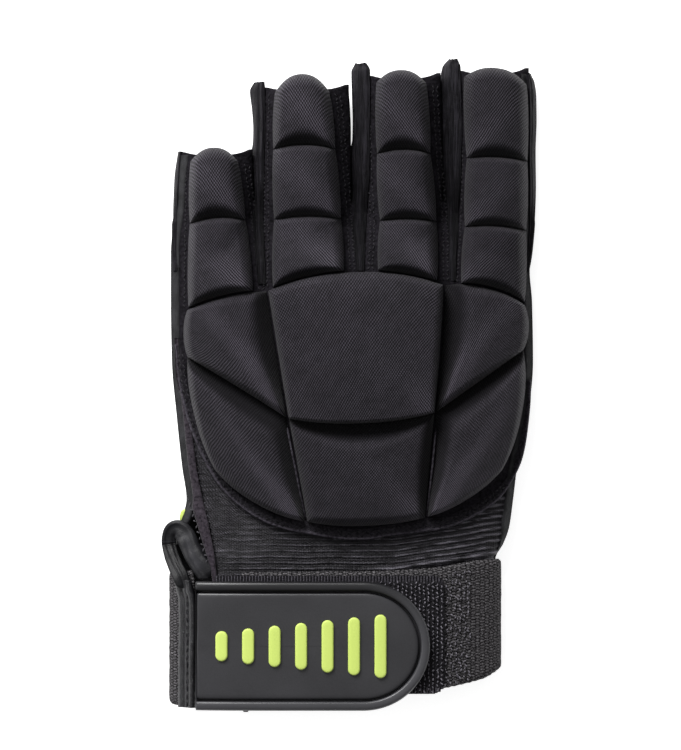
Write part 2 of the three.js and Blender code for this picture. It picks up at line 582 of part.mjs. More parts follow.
// A loop of rounded bar outline round a middle, lying on the pull tab
function gripLoop(x, halfLength, inset, height) {
  const radius = grip.width / 2 - inset;
  const straight = halfLength - grip.width / 2;
  const upperArc = steps(4, Math.PI, 0).map((angle) => [radius * Math.cos(angle), straight + radius * Math.sin(angle)]);
  const lowerArc = upperArc.slice().reverse().map(([dx, dy]) => [dx, -dy]);
  return [...upperArc, ...lowerArc]
    .map(([dx, dy]) => onWrist(aroundAt(x + dx, tab.face), tabPlan.middle + dy, height));
}

function gripGeometry(index) {
  const share = index / (grip.count - 1);
  const length = grip.shortest + (grip.longest - grip.shortest) * share;
  const x = grip.from + grip.pitch * index;
  return stack([gripLoop(x, length / 2, 0, grip.low), gripLoop(x, length / 2, 0, grip.high - 0.3),
    gripLoop(x, length / 2, 0.35, grip.high)]);
}

// A ring with a flat section lining the thumb hole
function thumbBinding() {
  const loop = (inset, z) => steps(24, 0, 2 * Math.PI).slice(0, -1).map((angle) => [
    thumbHole.x + (thumbHole.halfWidth - gap - inset) * Math.cos(angle),
    thumbHole.y + (thumbHole.halfLength - gap - inset) * Math.sin(angle), z]);
  const rings = [loop(0, 0.2), loop(0, 1.7), loop(thumbHole.binding, 1.7), loop(thumbHole.binding, 0.2)];
  const count = rings[0].length;
  const triangles = rings.flatMap((ring, level) => ring.flatMap((_, k) => quad(level * count + k,
    level * count + ((k + 1) % count), ((level + 1) % 4) * count + ((k + 1) % count), ((level + 1) % 4) * count + k)));
  return body(rings.flat(), triangles);
}

function thumbCut() {
  const outline = new THREE.EllipseCurve(thumbHole.x, thumbHole.y, thumbHole.halfWidth, thumbHole.halfLength);
  return prism(outline.getPoints(24).slice(0, -1), -far, 4);
}

// A small tongue with its free end rounded
function sideTagGeometry() {
  const { width, length, thickness } = sideTag;
  const half = width / 2;
  const shape = new THREE.Shape([new THREE.Vector2(-half, 0), new THREE.Vector2(half, 0),
    new THREE.Vector2(half, length * 0.6), new THREE.Vector2(half * 0.55, length),
    new THREE.Vector2(-half * 0.55, length), new THREE.Vector2(-half, length * 0.6)]);
  return new THREE.ExtrudeGeometry(shape, { depth: thickness, bevelEnabled: false });
}

// A short loop end that shows below the pull tab
function hemTagGeometry() {
  const { x, halfWidth, top, bottom, corner } = hemTag;
  const outline = [[-halfWidth, corner], [corner - halfWidth, 0], [halfWidth - corner, 0], [halfWidth, corner]];
  const level = (height) => outline.map(([dx, turn]) =>
    [top, bottom + turn].map((y) => onWrist(aroundAt(x + dx, patch.high), y, height)));
  return slab(level(patch.high), level(patch.low));
}

const glove = new THREE.Group();
glove.name = 'field_hockey_glove';

function add(name, geometry, material) {
  const mesh = new THREE.Mesh(geometry, material);
  mesh.name = name;
  geometry.computeVertexNormals();
  glove.add(mesh);
  return mesh;
}

const palmShell = outside.intersect(belowSeam).subtract(inside).subtract(wristTrim).subtract(thumbCut());
const upperBack = backShell.subtract(outsideRim(gap / 2));
add('palm', geometryOf(palmShell.intersect(handPart())), materials.palm);
add('palm_cuff', geometryOf(palmShell.intersect(cuffPart)), materials.palm);
add('back_base', geometryOf(upperBack.intersect(handPart(-beyond))), materials.knit);
for (const [index, finger] of Object.keys(fingerRows).entries()) {
  add(`palm_${finger}`, geometryOf(palmShell.intersect(fingerPart(index))), materials.palm);
  add(`back_${finger}`, geometryOf(upperBack.intersect(fingerPart(index))), materials.knit);
}
add('rib_panel', geometryOf(ribPanel()), materials.ribbed);
add('side_band', geometryOf(lowerBack.intersect(bandSide(-gap / 2))), materials.felt);
add('panel_rim', rimGeometry(), materials.knit);
for (const pad of padRows) add(`pad_${pad.name}`, padGeometry(pad), materials.knit);
for (const [name, rows] of Object.entries(stripRows)) add(name, stripGeometry(rows), materials.leather);
add('thumb_binding', thumbBinding(), materials.leather);
add('slit_binding', bindingGeometry(), materials.leather);
add('wrist_strap', strapGeometry(), materials.elastic);
add('loop_patch', patchGeometry(), materials.elastic);
add('tab_edge', tabEdgeGeometry(), materials.leather);
add('pull_tab', tabGeometry(), materials.rubber);
for (const index of steps(grip.count - 1, 0, grip.count - 1)) {
  add(`grip_mark_${index + 1}`, gripGeometry(index), materials.lime);
}
add('side_tag', sideTagGeometry(), materials.lime).position.set(sideTag.x, sideTag.y, seamHeight + gap / 2);
add('hem_tag', hemTagGeometry(), materials.leather);

export default glove;
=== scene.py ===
# Padded half-finger hockey glove for the left hand, lying palm down on a pale table.
# Tables and sizes are in millimetres; meshes are made in metres.
import math

import bmesh
import bpy
import numpy as np
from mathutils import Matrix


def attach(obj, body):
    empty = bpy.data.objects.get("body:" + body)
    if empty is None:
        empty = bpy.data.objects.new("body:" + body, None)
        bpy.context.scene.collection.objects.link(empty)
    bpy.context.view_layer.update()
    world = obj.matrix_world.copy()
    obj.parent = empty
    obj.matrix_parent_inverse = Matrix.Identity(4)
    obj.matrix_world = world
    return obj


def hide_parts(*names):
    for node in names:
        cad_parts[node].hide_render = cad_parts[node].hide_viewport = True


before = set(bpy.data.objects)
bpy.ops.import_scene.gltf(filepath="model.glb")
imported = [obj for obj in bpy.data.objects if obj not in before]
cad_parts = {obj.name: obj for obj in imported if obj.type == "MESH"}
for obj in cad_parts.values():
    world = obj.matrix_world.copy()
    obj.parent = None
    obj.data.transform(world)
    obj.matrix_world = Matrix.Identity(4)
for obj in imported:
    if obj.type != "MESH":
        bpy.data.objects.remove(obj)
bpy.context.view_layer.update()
mm = 0.001
print("frame loaded:", len(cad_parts), "nodes")

# Camera and light

view = {
    "middle": (-2.55, 2.85),    # what the photo's centre looks at
    "height": 225.0,            # what its height takes in, at the level of the pads
    "level": 15.0,
    "distance": 2000.0,
    "sensor": 36.0,
}


def makeCamera():
    data = bpy.data.cameras.new("camera")
    data.sensor_width = view["sensor"]
    data.lens = view["sensor"] * (view["distance"] - view["level"]) / view["height"]
    data.clip_end = 20.0
    camera = bpy.data.objects.new("camera", data)
    camera.location = (view["middle"][0] * mm, view["middle"][1] * mm, view["distance"] * mm)
    bpy.context.scene.collection.objects.link(camera)
    bpy.context.scene.camera = camera


lights = {
    # name: position, size, watts; all look at the glove
    "softboxTop": ((-0.6, 1.15, 0.95), 0.8, 42.0),
    "softboxOver": ((0.1, -0.1, 1.6), 1.3, 2.0),
    "softboxLeft": ((-1.2, 0.0, 0.8), 0.7, 2.8),
}
world = {"colour": (1.0, 1.0, 1.0), "strength": 0.26}
# A light table, in metres, a hair under the glove
table = {"size": 16.0, "level": -0.0002, "colour": (0.85, 0.85, 0.85), "glow": 0.78}


def makeLights():
    for name, (place, size, watts) in lights.items():
        data = bpy.data.lights.new(name, "AREA")
        data.energy = watts
        data.size = size
        lamp = bpy.data.objects.new(name, data)
        lamp.location = place
        toGlove = -np.array(place)
        tilt = math.atan2(math.hypot(toGlove[0], toGlove[1]), -toGlove[2])
        lamp.rotation_euler = (tilt, 0, math.atan2(toGlove[1], toGlove[0]) - math.pi / 2)
        bpy.context.scene.collection.objects.link(lamp)
    surroundings = bpy.data.worlds.new("studio")
    surroundings.use_nodes = True
    background = surroundings.node_tree.nodes["Background"]
    background.inputs["Color"].default_value = (*world["colour"], 1)
    background.inputs["Strength"].default_value = world["strength"]
    bpy.context.scene.world = surroundings
    bpy.context.scene.view_settings.view_transform = "Standard"


# Meshes from arrays

def gridFaces(rows, columns, wrapColumns=False):
    # Quads of a grid whose points are numbered row by row
    across = columns if wrapColumns else columns - 1
    i, j = np.meshgrid(np.arange(rows - 1), np.arange(across), indexing="ij")
    here, right = i * columns + j, i * columns + (j + 1) % columns
    return np.stack([here, right, right + columns, here + columns], -1).reshape(-1, 4)


def makeMesh(name, points, faces, place=None, marks=None):
    # Points in mm; place is each point's spot on the cloth in mm, kept as the UV map
    mesh = bpy.data.meshes.new(name)
    mesh.from_pydata((np.asarray(points) * mm).tolist(), [], [list(face) for face in faces])
    if place is not None:
        corner = np.empty(len(mesh.loops), dtype=np.int32)
        mesh.loops.foreach_get("vertex_index", corner)
        layer = mesh.uv_layers.new(name="cloth")
        layer.data.foreach_set("uv", np.asarray(place, dtype=np.float32)[corner].ravel())
    for label, values in (marks or {}).items():
        layer = mesh.attributes.new(label, "FLOAT", "POINT")
        layer.data.foreach_set("value", np.asarray(values, np.float32).ravel())
    mesh.polygons.foreach_set("use_smooth", np.full(len(mesh.polygons), True))
    mesh.update()
    return mesh


def makePiece(name, mesh, material, nodes=()):
    piece = bpy.data.objects.new(name, mesh)
    bpy.context.scene.collection.objects.link(piece)
    mesh.materials.append(materials[material])
    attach(piece, "root")
    if nodes:
        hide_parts(*nodes)
    return piece


def weld(mesh, distance=0.02):
    # Joins points that lie on each other and turns the faces outwards
    work = bmesh.new()
    work.from_mesh(mesh)
    bmesh.ops.remove_doubles(work, verts=work.verts, dist=distance * mm)
    bmesh.ops.recalc_face_normals(work, faces=work.faces)
    work.to_mesh(mesh)
    work.free()
    mesh.update()


def makeSheet(name, grid, material, nodes, thickness, marks=None, place=None):
    # A sheet from its outer side as a grid of points; its place on the cloth is its plan, unless told
    place = grid[..., :2] if place is None else place
    mesh = makeMesh(name, grid.reshape(-1, 3), gridFaces(*grid.shape[:2]), place.reshape(-1, 2), marks)
    weld(mesh)
    return thicken(makePiece(name, mesh, material, nodes), thickness)


def thicken(piece, thickness):
    # Gives a sheet its thickness, on the inner side
    wall = piece.modifiers.new("thickness", "SOLIDIFY")
    wall.thickness = thickness * mm
    wall.offset = -1.0
    wall.use_even_offset = False
    return piece


def closeTube(points):
    # Quads round rings of points (rings, around, 3), with a fan on each end
    rings, around = points.shape[:2]
    flat = points.reshape(-1, 3)
    faces = [tuple(face) for face in gridFaces(rings, around, wrapColumns=True)]
    ends = np.stack([points[0].mean(0), points[-1].mean(0)])
    first, last = rings * around, rings * around + 1
    k = np.arange(around)
    following = (k + 1) % around
    start = (rings - 1) * around
    faces += [(b, a, first) for a, b in zip(k, following)]
    faces += [(start + a, start + b, last) for a, b in zip(k, following)]
    return np.vstack([flat, ends]), faces


def makeSolid(name, points, faces, material, slot, nodes=(), marks=None, mapped=True):
    # A closed form, mapped by its plan where its material needs a place on the cloth
    mesh = makeMesh(name, points, faces, points[:, :2] if mapped else None, marks)
    weld(mesh, 0.001)
    makePiece(name, mesh, material, nodes)


# Curves and tables

def makeTable(columns, rows):
    return dict(zip(columns.split(), np.array(rows, float).T))


def smoothRead(knots, values, at):
    # Cubic between the rows; the slope at a row is the harmonic mean of its two sides, 0 at a peak
    step = np.diff(knots)
    slope = np.diff(values) / step
    product = slope[:-1] * slope[1:]
    total = slope[:-1] + slope[1:]
    inner = np.where(product > 0, 2 * product / np.where(total == 0, 1, total), 0)
    tangent = np.concatenate([[slope[0]], inner, [slope[-1]]])
    at = np.clip(at, knots[0], knots[-1])
    k = np.clip(np.searchsorted(knots, at) - 1, 0, len(step) - 1)
    t = (at - knots[k]) / step[k]
    return ((1 + 2 * t) * (1 - t) ** 2 * values[k] + t * (1 - t) ** 2 * step[k] * tangent[k]
            + t * t * (3 - 2 * t) * values[k + 1] + t * t * (t - 1) * step[k] * tangent[k + 1])


def readTable(rows, at, key="y"):
    # Each column read at a value of the key; a column that is one number stays as it is
    return {name: column if np.isscalar(column) else smoothRead(rows[key], column, at)
            for name, column in rows.items()}


def walked(line):
    # Distance from the line's start to each of its points
    return np.concatenate([[0], np.cumsum(np.linalg.norm(np.diff(line, axis=0), axis=1))])


def smoothCurve(points, count):
    # Catmull-Rom curve through the points, then spaced evenly along its length
    points = np.asarray(points, float)
    padded = np.vstack([2 * points[0] - points[1], points, 2 * points[-1] - points[-2]])
    t = np.linspace(0, len(points) - 1, 12 * len(points) + 1)
    k = np.minimum(t.astype(int), len(points) - 2)
    f = (t - k)[:, None]
    a, b, c, d = padded[k], padded[k + 1], padded[k + 2], padded[k + 3]
    fine = 0.5 * (2 * b + (c - a) * f + (2 * a - 5 * b + 4 * c - d) * f ** 2
                  + (3 * b - a - 3 * c + d) * f ** 3)
    length = walked(fine)
    even = np.linspace(0, length[-1], count)
    return np.stack([np.interp(even, length, fine[:, axis]) for axis in range(points.shape[1])], -1)


def tangents(line):
    along = np.gradient(line, axis=0)
    return along / np.linalg.norm(along, axis=1, keepdims=True)


def smoothStep(low, high, value):
    t = np.clip((value - low) / (high - low), 0, 1)
    return t * t * (3 - 2 * t)


def softMax(a, b, reach):
    # The larger of two heights, rounded where they are closer than reach
    near = np.clip(reach - np.abs(a - b), 0, None) / reach
    return np.maximum(a, b) + near ** 2 * reach / 4


def ripple(x, y, wavelength, seed):
    # Gentle unevenness: six plane waves in seeded directions, -1 to 1
    draw = np.random.default_rng(seed)
    total = np.zeros(np.broadcast(x, y).shape)
    for angle, phase, stretch in zip(draw.uniform(0, math.pi, 6), draw.uniform(0, 2 * math.pi, 6),
                                     draw.uniform(0.7, 1.5, 6)):
        wave = 2 * math.pi / (wavelength * stretch)
        total += np.sin(wave * (x * math.cos(angle) + y * math.sin(angle)) + phase)
    return total / 6


def uneven(x, y, waves):
    # Sum of ripples, each given as its height and wavelength in mm and its seed
    return sum(height * ripple(x, y, wavelength, seed) for height, wavelength, seed in waves)


def crowded(count, weight):
    # Shares from 0 to 1 that lie closer together towards both ends
    even = np.linspace(0, 1, count)
    return (1 - weight) * even + weight * (0.5 - 0.5 * np.cos(even * math.pi))


def bell(value, middle, reach):
    # 1 at the middle and nearly 0 from twice the reach
    return np.exp(-((value - middle) / reach) ** 2)


# The hand's form: seam height, domed back, flat palm with curled edges

seamHeight = 6.5
flatShare = 0.8     # share of the palm's width that lies flat
hand = makeTable("y left right floor rise power round", [
    [-99, -52.2, 43.9, 2, 11, 4, 0.45],
    [-52.3, -52.2, 43.9, 2, 11, 4, 0.45],
    [-48, -52.4, 46.2, 0.4, 10.6, 3, 0.5],
    [-43, -51.2, 48, 0, 10.5, 2.8, 0.52],
    [-34.6, -48.7, 49.2, 0, 10.5, 2.5, 0.55],
    [-25, -50, 50.4, 0, 10.7, 2.3, 0.6],
    [-10, -51.6, 53.6, 0, 11, 2.2, 0.6],
    [7, -53.1, 55.2, 0, 11.5, 2.2, 0.6],
    [25, -53.4, 54.9, 0, 11.4, 2.2, 0.6],
    [34, -53.4, 54.2, 0, 10, 2.2, 0.6],
    [43, -53.4, 54.9, 0, 6.5, 2.2, 0.6],
    [52, -53.4, 55.2, 0, 3, 2.2, 0.6],
])
fingerDome = {"power": 2.0, "round": 0.6}
fingers = {name: {**makeTable("y left right rise", rows), **fingerDome} for name, rows in {
    "pinky": [(28, -45, -28.4, 3), (38, -50.6, -28.5, 5.4), (46, -51.7, -28.7, 6.2), (58, -51.7, -28.8, 6),
              (69, -50.6, -29, 5.4)],
    "ring": [(28, -28, 0.4, 7), (46, -26.4, 0.5, 6.4), (76, -26, 0.6, 6), (88.5, -25.6, 0, 5.4)],
    "middle": [(28, 2, 27.9, 7), (46, 5.2, 28.2, 6.4), (78, 5.8, 28, 6), (92, 5.9, 27.6, 5.4)],
    "index": [(28, 31.5, 46.5, 3), (38, 32.4, 52.8, 5), (46, 33, 54.6, 6.4), (78, 33.4, 54.9, 6),
              (93.5, 33.2, 54.2, 5.4)],
}.items()}
# Where along Y the hand's dome fades out, the fingers' domes fade in and their outer sides take over
domes = {"handFades": (46, 54), "fingersRise": (26, 36), "outerSides": (40, 57), "round": 0.8}
fork = {"lines": (-27.55, 2.85, 30.6), "height": 51.0, "opens": 56.0}
# A sloping lower end is found again this often from the sides it lies between
settle = {"passes": 12, "from": -40.0}


def domeRise(rows, x, y):
    # Rise of the back over the seam: rise * (1 - |u|^power)^round, u the share of the half width
    row = readTable(rows, y)
    u = np.abs((2 * x - row["left"] - row["right"]) / (row["right"] - row["left"]))
    return row["rise"] * np.clip(1 - u ** row["power"], 0, None) ** row["round"]


def backHeight(x, y):
    # Hand dome fading out at the forks, and the finger domes fading in
    rise = domeRise(hand, x, y) * (1 - smoothStep(*domes["handFades"], y))
    for rows in fingers.values():
        rise = softMax(rise, domeRise(rows, x, y) * smoothStep(*domes["fingersRise"], y), domes["round"])
    return seamHeight + rise


def palmHeight(x, left, right, floor):
    # Flat floor that curls up to the seam over the last part of the half width
    u = np.abs((2 * x - left - right) / (right - left))
    return floor + (seamHeight - floor) * np.clip((u - flatShare) / (1 - flatShare), 0, 1) ** 2


# The U that the padded back ends in, from the little finger's side
rimCurve = smoothCurve([
    (-52.6, 12), (-50.9, -1.6), (-46.5, -16.6), (-38.1, -31.6), (-24.3, -41.8), (-5.7, -46), (4.8, -46.6),
    (14.1, -45.2), (27.3, -43.6), (36.6, -40.2), (45, -34.6), (50.4, -26.8), (53, -19.3), (54.6, -7),
    (54.9, 1.4),
], 240)
wristEnd = {"at": -98.4, "from": -90.0, "slope": 17.4 / 180}


def rimAt(x):
    # How far down the padded back reaches at a place across the hand
    return np.interp(x, rimCurve[:, 0], rimCurve[:, 1])


def wristEndAt(x):
    # The glove ends a little further up on the thumb side
    return wristEnd["at"] + (x - wristEnd["from"]) * wristEnd["slope"]


def fingerSides(index, y):
    # Left and right side of a finger's strip: the hand's side or a fork line, then its own side
    rows = readTable(fingers[list(fingers)[index]], y)
    handRow = readTable(hand, y)
    opening = smoothStep(fork["height"], fork["opens"], y)
    outer = smoothStep(*domes["outerSides"], y)

    def blend(key, isOuter, line):
        share, wide = (outer, handRow[key]) if isOuter else (opening, fork["lines"][line])
        return (1 - share) * wide + share * rows[key]

    return blend("left", index == 0, index - 1), blend("right", index == 3, index)


def stripGrid(index, lowerEnd, rowsBelow, rowsAbove, columns, tipWave=0.0):
    # One finger's strip of the hand, from lowerEnd(x) to the open tip, as x and y on a grid
    share = crowded(columns, 0.5)
    start = np.full(columns, settle["from"])
    for _ in range(settle["passes"]):
        left, right = fingerSides(index, start)
        start = lowerEnd(left + (right - left) * share)
    tip = list(fingers.values())[index]["y"][-1] + tipWave * (2 * np.abs(share - 0.45)) ** 3
    below = np.linspace(0, 1, rowsBelow, endpoint=False)[:, None]
    above = np.linspace(0, 1, rowsAbove)[:, None]
    level = fork["height"]
    y = np.vstack([start + (level - start) * below, level + (tip - level) * above])
    left, right = fingerSides(index, y)
    return left + (right - left) * share, y


def joinGrids(grids):
    # Several grids of points and their places on the cloth as one list of points and faces
    points, places, faces, start = [], [], [], 0
    for xyz, place in grids:
        rows, columns = xyz.shape[:2]
        faces.append(gridFaces(rows, columns) + start)
        points.append(xyz.reshape(-1, 3))
        places.append(place.reshape(-1, 2))
        start += rows * columns
    return np.vstack(points), np.vstack(places), np.vstack(faces)


# Shader helpers

def put(tree, kind, inputs=None, **settings):
    node = tree.nodes.new("ShaderNode" + kind)
    for name, value in settings.items():
        setattr(node, name, value)
    for name, value in (inputs or {}).items():
        if isinstance(value, bpy.types.NodeSocket):
            tree.links.new(value, node.inputs[name])
        else:
            node.inputs[name].default_value = value
    return node


def maths(tree, operation, first, second=0.0, third=0.0):
    return put(tree, "Math", {0: first, 1: second, 2: third}, operation=operation).outputs[0]


def plus(tree, first, second):
    return maths(tree, "ADD", first, second)


def times(tree, first, second):
    return maths(tree, "MULTIPLY", first, second)


def timesPlus(tree, first, second, third):
    return maths(tree, "MULTIPLY_ADD", first, second, third)


def timesEach(tree, place, factors):
    return put(tree, "VectorMath", {0: place, 1: factors}, operation="MULTIPLY").outputs["Vector"]


def noiseAt(tree, place, scale, detail, **more):
    return put(tree, "TexNoise", {"Vector": place, "Scale": scale, "Detail": detail, **more}).outputs["Fac"]


def between(tree, value, low, high, kind="LINEAR"):
    # 0 up to the low value and 1 from the high one on
    limits = {"Value": value, "From Min": low, "From Max": high}
    return put(tree, "MapRange", limits, interpolation_type=kind).outputs[0]


def mark(tree, name):
    return put(tree, "Attribute", attribute_name=name).outputs["Fac"]


def onCloth(tree):
    # The place on the cloth, in millimetres
    return put(tree, "UVMap", uv_map="cloth").outputs["UV"]


def onObject(tree):
    # Object coordinates in millimetres
    return timesEach(tree, put(tree, "TexCoord").outputs["Object"], (1 / mm, 1 / mm, 1 / mm))


def mottle(tree, place, size, amount):
    # Slow change of tone over the surface, round 0
    noise = noiseAt(tree, place, 1 / size, 3.0)
    return times(tree, maths(tree, "SUBTRACT", noise, 0.5), amount)


# Patterns: each gives a height and a tone, both about 0 to 1, from the place and its sizes in millimetres

def makeTwill(tree, given):
    # Two sets of slanting threads that cross as diamonds; Twist moves the weight between the two sets
    waver = noiseAt(tree, given["Place"], 0.2, 3.0)
    cosine = maths(tree, "COSINE", given["Slant"])
    sine = maths(tree, "SINE", given["Slant"])
    x, y = put(tree, "SeparateXYZ", {0: given["Place"]}).outputs[:2]
    lines = []
    for sign in (-1.0, 1.0):
        crossed = timesPlus(tree, sine, x, times(tree, times(tree, cosine, y), sign))
        turns = timesPlus(tree, waver, 1.4, maths(tree, "DIVIDE", crossed, given["Pitch"]))
        wave = maths(tree, "SINE", times(tree, turns, 2 * math.pi))
        lines.append(timesPlus(tree, wave, 0.5, 0.5))
    weight = timesPlus(tree, given["Twist"], 0.5, 0.41)
    mixed = put(tree, "Mix", {0: weight, 2: lines[0], 3: lines[1]}).outputs[0]
    fibre = noiseAt(tree, given["Place"], 3.2, 2.0)
    bright = between(tree, mixed, 0.22, 0.95, "SMOOTHSTEP")
    return timesPlus(tree, fibre, 0.5, mixed), times(tree, bright, plus(tree, fibre, 0.5))


def makeFuzz(tree, given):
    # Short tangled fibres: fine noise with darker pits
    scale = maths(tree, "DIVIDE", 1.0, given["Size"])
    noise = noiseAt(tree, given["Place"], scale, 4.0, Roughness=0.65)
    cells = put(tree, "TexVoronoi", {"Vector": given["Place"], "Scale": scale}).outputs["Distance"]
    return timesPlus(tree, cells, 0.5, noise), between(tree, noise, 0.3, 0.7)


def makeGrain(tree, given):
    # Leather grain: rounded cells between fine furrows, with a few longer creases
    cell = {"Vector": given["Place"], "Scale": maths(tree, "DIVIDE", 1.0, given["Size"])}
    furrows = put(tree, "TexVoronoi", cell, feature="DISTANCE_TO_EDGE").outputs["Distance"]
    pebble = between(tree, furrows, 0.0, 0.22, "SMOOTHSTEP")
    crease = noiseAt(tree, given["Place"], 0.28, 5.0, Distortion=0.6)
    return timesPlus(tree, crease, 1.6, times(tree, pebble, 0.35)), between(tree, crease, 0.3, 0.7)


def makeCords(tree, given):
    # Cords along Y, each bound by short threads across it; every other cord's threads are shifted
    waver = noiseAt(tree, given["Place"], 0.5, 3.0)
    x, y = put(tree, "SeparateXYZ", {0: given["Place"]}).outputs[:2]
    along = timesPlus(tree, waver, 0.5, maths(tree, "DIVIDE", x, given["Cord"]))
    across = timesPlus(tree, waver, 1.2, maths(tree, "DIVIDE", y, given["Thread"]))
    shifted = timesPlus(tree, maths(tree, "FLOOR", along), 0.5, across)
    cord, thread = (maths(tree, "ABSOLUTE", maths(tree, "SINE", times(tree, turns, math.pi)))
                    for turns in (along, shifted))
    both = timesPlus(tree, maths(tree, "POWER", cord, 0.4), 0.45, times(tree, thread, 0.55))
    return both, times(tree, both, noiseAt(tree, given["Place"], 3.0, 3.0))


def makeGroup(name, build, **sizes):
    tree = bpy.data.node_groups.new(name, "ShaderNodeTree")
    tree.interface.new_socket("Place", in_out="INPUT", socket_type="NodeSocketVector")
    for label, size in sizes.items():
        socket = tree.interface.new_socket(label, in_out="INPUT", socket_type="NodeSocketFloat")
        socket.default_value = size
    for label in ("Height", "Tone"):
        tree.interface.new_socket(label, in_out="OUTPUT", socket_type="NodeSocketFloat")
    results = build(tree, tree.nodes.new("NodeGroupInput").outputs)
    for result, socket in zip(results, tree.nodes.new("NodeGroupOutput").inputs):
        tree.links.new(result, socket)
    return tree


groups = {
    "twill": makeGroup("twill", makeTwill, Pitch=0.64, Slant=0.9, Twist=0.0),
    "fuzz": makeGroup("fuzz", makeFuzz, Size=0.5),
    "grain": makeGroup("grain", makeGrain, Size=0.6),
    "cords": makeGroup("cords", makeCords, Cord=1.9, Thread=0.5),
}


def pattern(tree, name, place, **sizes):
    return put(tree, "Group", {"Place": place, **sizes}, node_tree=groups[name]).outputs


# Finishes: linear colours at the bottom and top of the pattern, and the uniform values

looks = {
    "padKnit": {"dark": (0.0026, 0.0022, 0.0031), "light": (0.067, 0.0596, 0.076), "roughness": 0.7,
                "sheen": 0.05, "specular": 0.12, "dull": "paintedShade"},
    "baseKnit": {"dark": (0.0015, 0.0013, 0.0017), "light": (0.0165, 0.0146, 0.0189), "roughness": 0.9,
                 "specular": 0.08},
    "rimKnit": {"dark": (0.002, 0.0018, 0.0023), "light": (0.052, 0.047, 0.058), "roughness": 0.85,
                "specular": 0.1},
    "ribbedKnit": {"dark": (0.002, 0.0017, 0.0023), "light": (0.105, 0.099, 0.116), "roughness": 0.5,
                   "specular": 0.2},
    "stripLeather": {"dark": (0.0025, 0.0023, 0.003), "light": (0.020, 0.0185, 0.023), "roughness": 0.65,
                     "specular": 0.1},
    "sideFelt": {"dark": (0.005, 0.0038, 0.0054), "light": (0.047, 0.039, 0.049), "roughness": 0.95,
                 "sheen": 0.08, "specular": 0.05},
    "trimLeather": {"dark": (0.0035, 0.0034, 0.004), "light": (0.016, 0.0158, 0.0184), "roughness": 0.36,
                    "specular": 0.32},
    "bindingLeather": {"dark": (0.002, 0.0019, 0.0023), "light": (0.026, 0.0258, 0.030), "roughness": 0.42,
                       "specular": 0.16},
    "strapElastic": {"dark": (0.003, 0.0028, 0.0031), "light": (0.155, 0.147, 0.155), "roughness": 0.85,
                     "specular": 0.1},
    "loopPile": {"dark": (0.004, 0.0037, 0.0046), "light": (0.23, 0.217, 0.249), "roughness": 0.6,
                 "specular": 0.2},
    "pileGround": {"dark": (0.003, 0.0028, 0.0034), "light": (0.075, 0.070, 0.082), "roughness": 0.8,
                   "specular": 0.1},
    "tabRubber": {"dark": (0.008, 0.0078, 0.009), "light": (0.052, 0.0515, 0.057), "roughness": 0.36,
                  "specular": 0.4},
    "limeRubber": {"dark": (0.50, 0.62, 0.13), "light": (0.58, 0.72, 0.17), "roughness": 0.5,
                   "specular": 0.3},
    "palmLeather": {"dark": (0.006, 0.006, 0.0066), "light": (0.022, 0.022, 0.0245), "roughness": 0.7,
                    "specular": 0.2},
    "thread": {"dark": (0.006, 0.0054, 0.007), "light": (0.021, 0.0196, 0.0236), "roughness": 0.6,
               "specular": 0.25},
    "bandThread": {"dark": (0.006, 0.0056, 0.007), "light": (0.10, 0.094, 0.108), "roughness": 0.6,
                   "specular": 0.2},
}


# Builders: each gives a material's tone (0 to 1) and its height in millimetres

def buildPad(tree):
    place = onCloth(tree)
    twistAndSheen = mark(tree, "twistAndSheen")
    twill = pattern(tree, "twill", place, Twist=twistAndSheen)
    # Painted sheen highlight: the tone is lighter along the corner ridge where the threads turn
    paintedSheen = timesPlus(tree, maths(tree, "ABSOLUTE", twistAndSheen), 1.25, 0.565)
    patchy = plus(tree, plus(tree, paintedSheen, mottle(tree, place, 8, 0.6)), mottle(tree, place, 1.6, 0.6))
    # Painted shade darkens the tone in the wide valleys and over some whole pads
    raised = maths(tree, "SUBTRACT", 1.0, mark(tree, "paintedShade"))
    return times(tree, times(tree, twill["Tone"], patchy), raised), times(tree, twill["Height"], 0.16)


def cloudy(group, placeOf, size, cloud, amount, relief):
    # A plain cloth or leather whose tone changes slowly over it
    def build(tree):
        place = placeOf(tree)
        plain = pattern(tree, group, place, Size=size)
        tone = plus(tree, plain["Tone"], mottle(tree, place, cloud, amount))
        return tone, times(tree, plain["Height"], relief)
    return build


def buildRim(tree):
    fuzz = pattern(tree, "fuzz", onCloth(tree), Size=1.0)
    # The edge mark adds a painted highlight along the rim's outer edge
    edge = timesPlus(tree, mark(tree, "edge"), 1.3, 0.55)
    return times(tree, fuzz["Tone"], edge), times(tree, fuzz["Height"], 0.35)


def buildRib(tree):
    # Painted highlights on the rib crests, broken into streaks along the ribs, and small cords show in their
    # crests
    place = onCloth(tree)
    cords = pattern(tree, "cords", place, Cord=0.7, Thread=0.5)
    streaks = noiseAt(tree, timesEach(tree, place, (0.22, 1.5, 1.0)), 1.0, 4.0, Roughness=0.6)
    streaks = between(tree, streaks, 0.38, 0.62)
    woven = timesPlus(tree, cords["Tone"], 2.6, 0.15)
    tone = times(tree, times(tree, mark(tree, "crest"), streaks), woven)
    height = timesPlus(tree, streaks, 0.15, times(tree, cords["Height"], 0.2))
    return timesPlus(tree, cords["Tone"], 0.14, tone), height


def buildLeather(tree):
    place = onObject(tree)
    grain = pattern(tree, "grain", place, Size=0.55)
    tone = timesPlus(tree, grain["Tone"], 0.6, mottle(tree, place, 6, 0.8))
    return plus(tree, tone, 0.2), times(tree, grain["Height"], 0.16)


def buildBinding(tree):
    # Smooth leather: fine grain, slow cloudiness, and the painted highlights and painted shade of its lit
    # mark
    place = onObject(tree)
    grain = pattern(tree, "grain", place, Size=0.5)
    clouds = plus(tree, mottle(tree, place, 2.5, 0.9), timesPlus(tree, grain["Tone"], 0.2, 0.85))
    return times(tree, clouds, mark(tree, "lit")), times(tree, grain["Height"], 0.05)


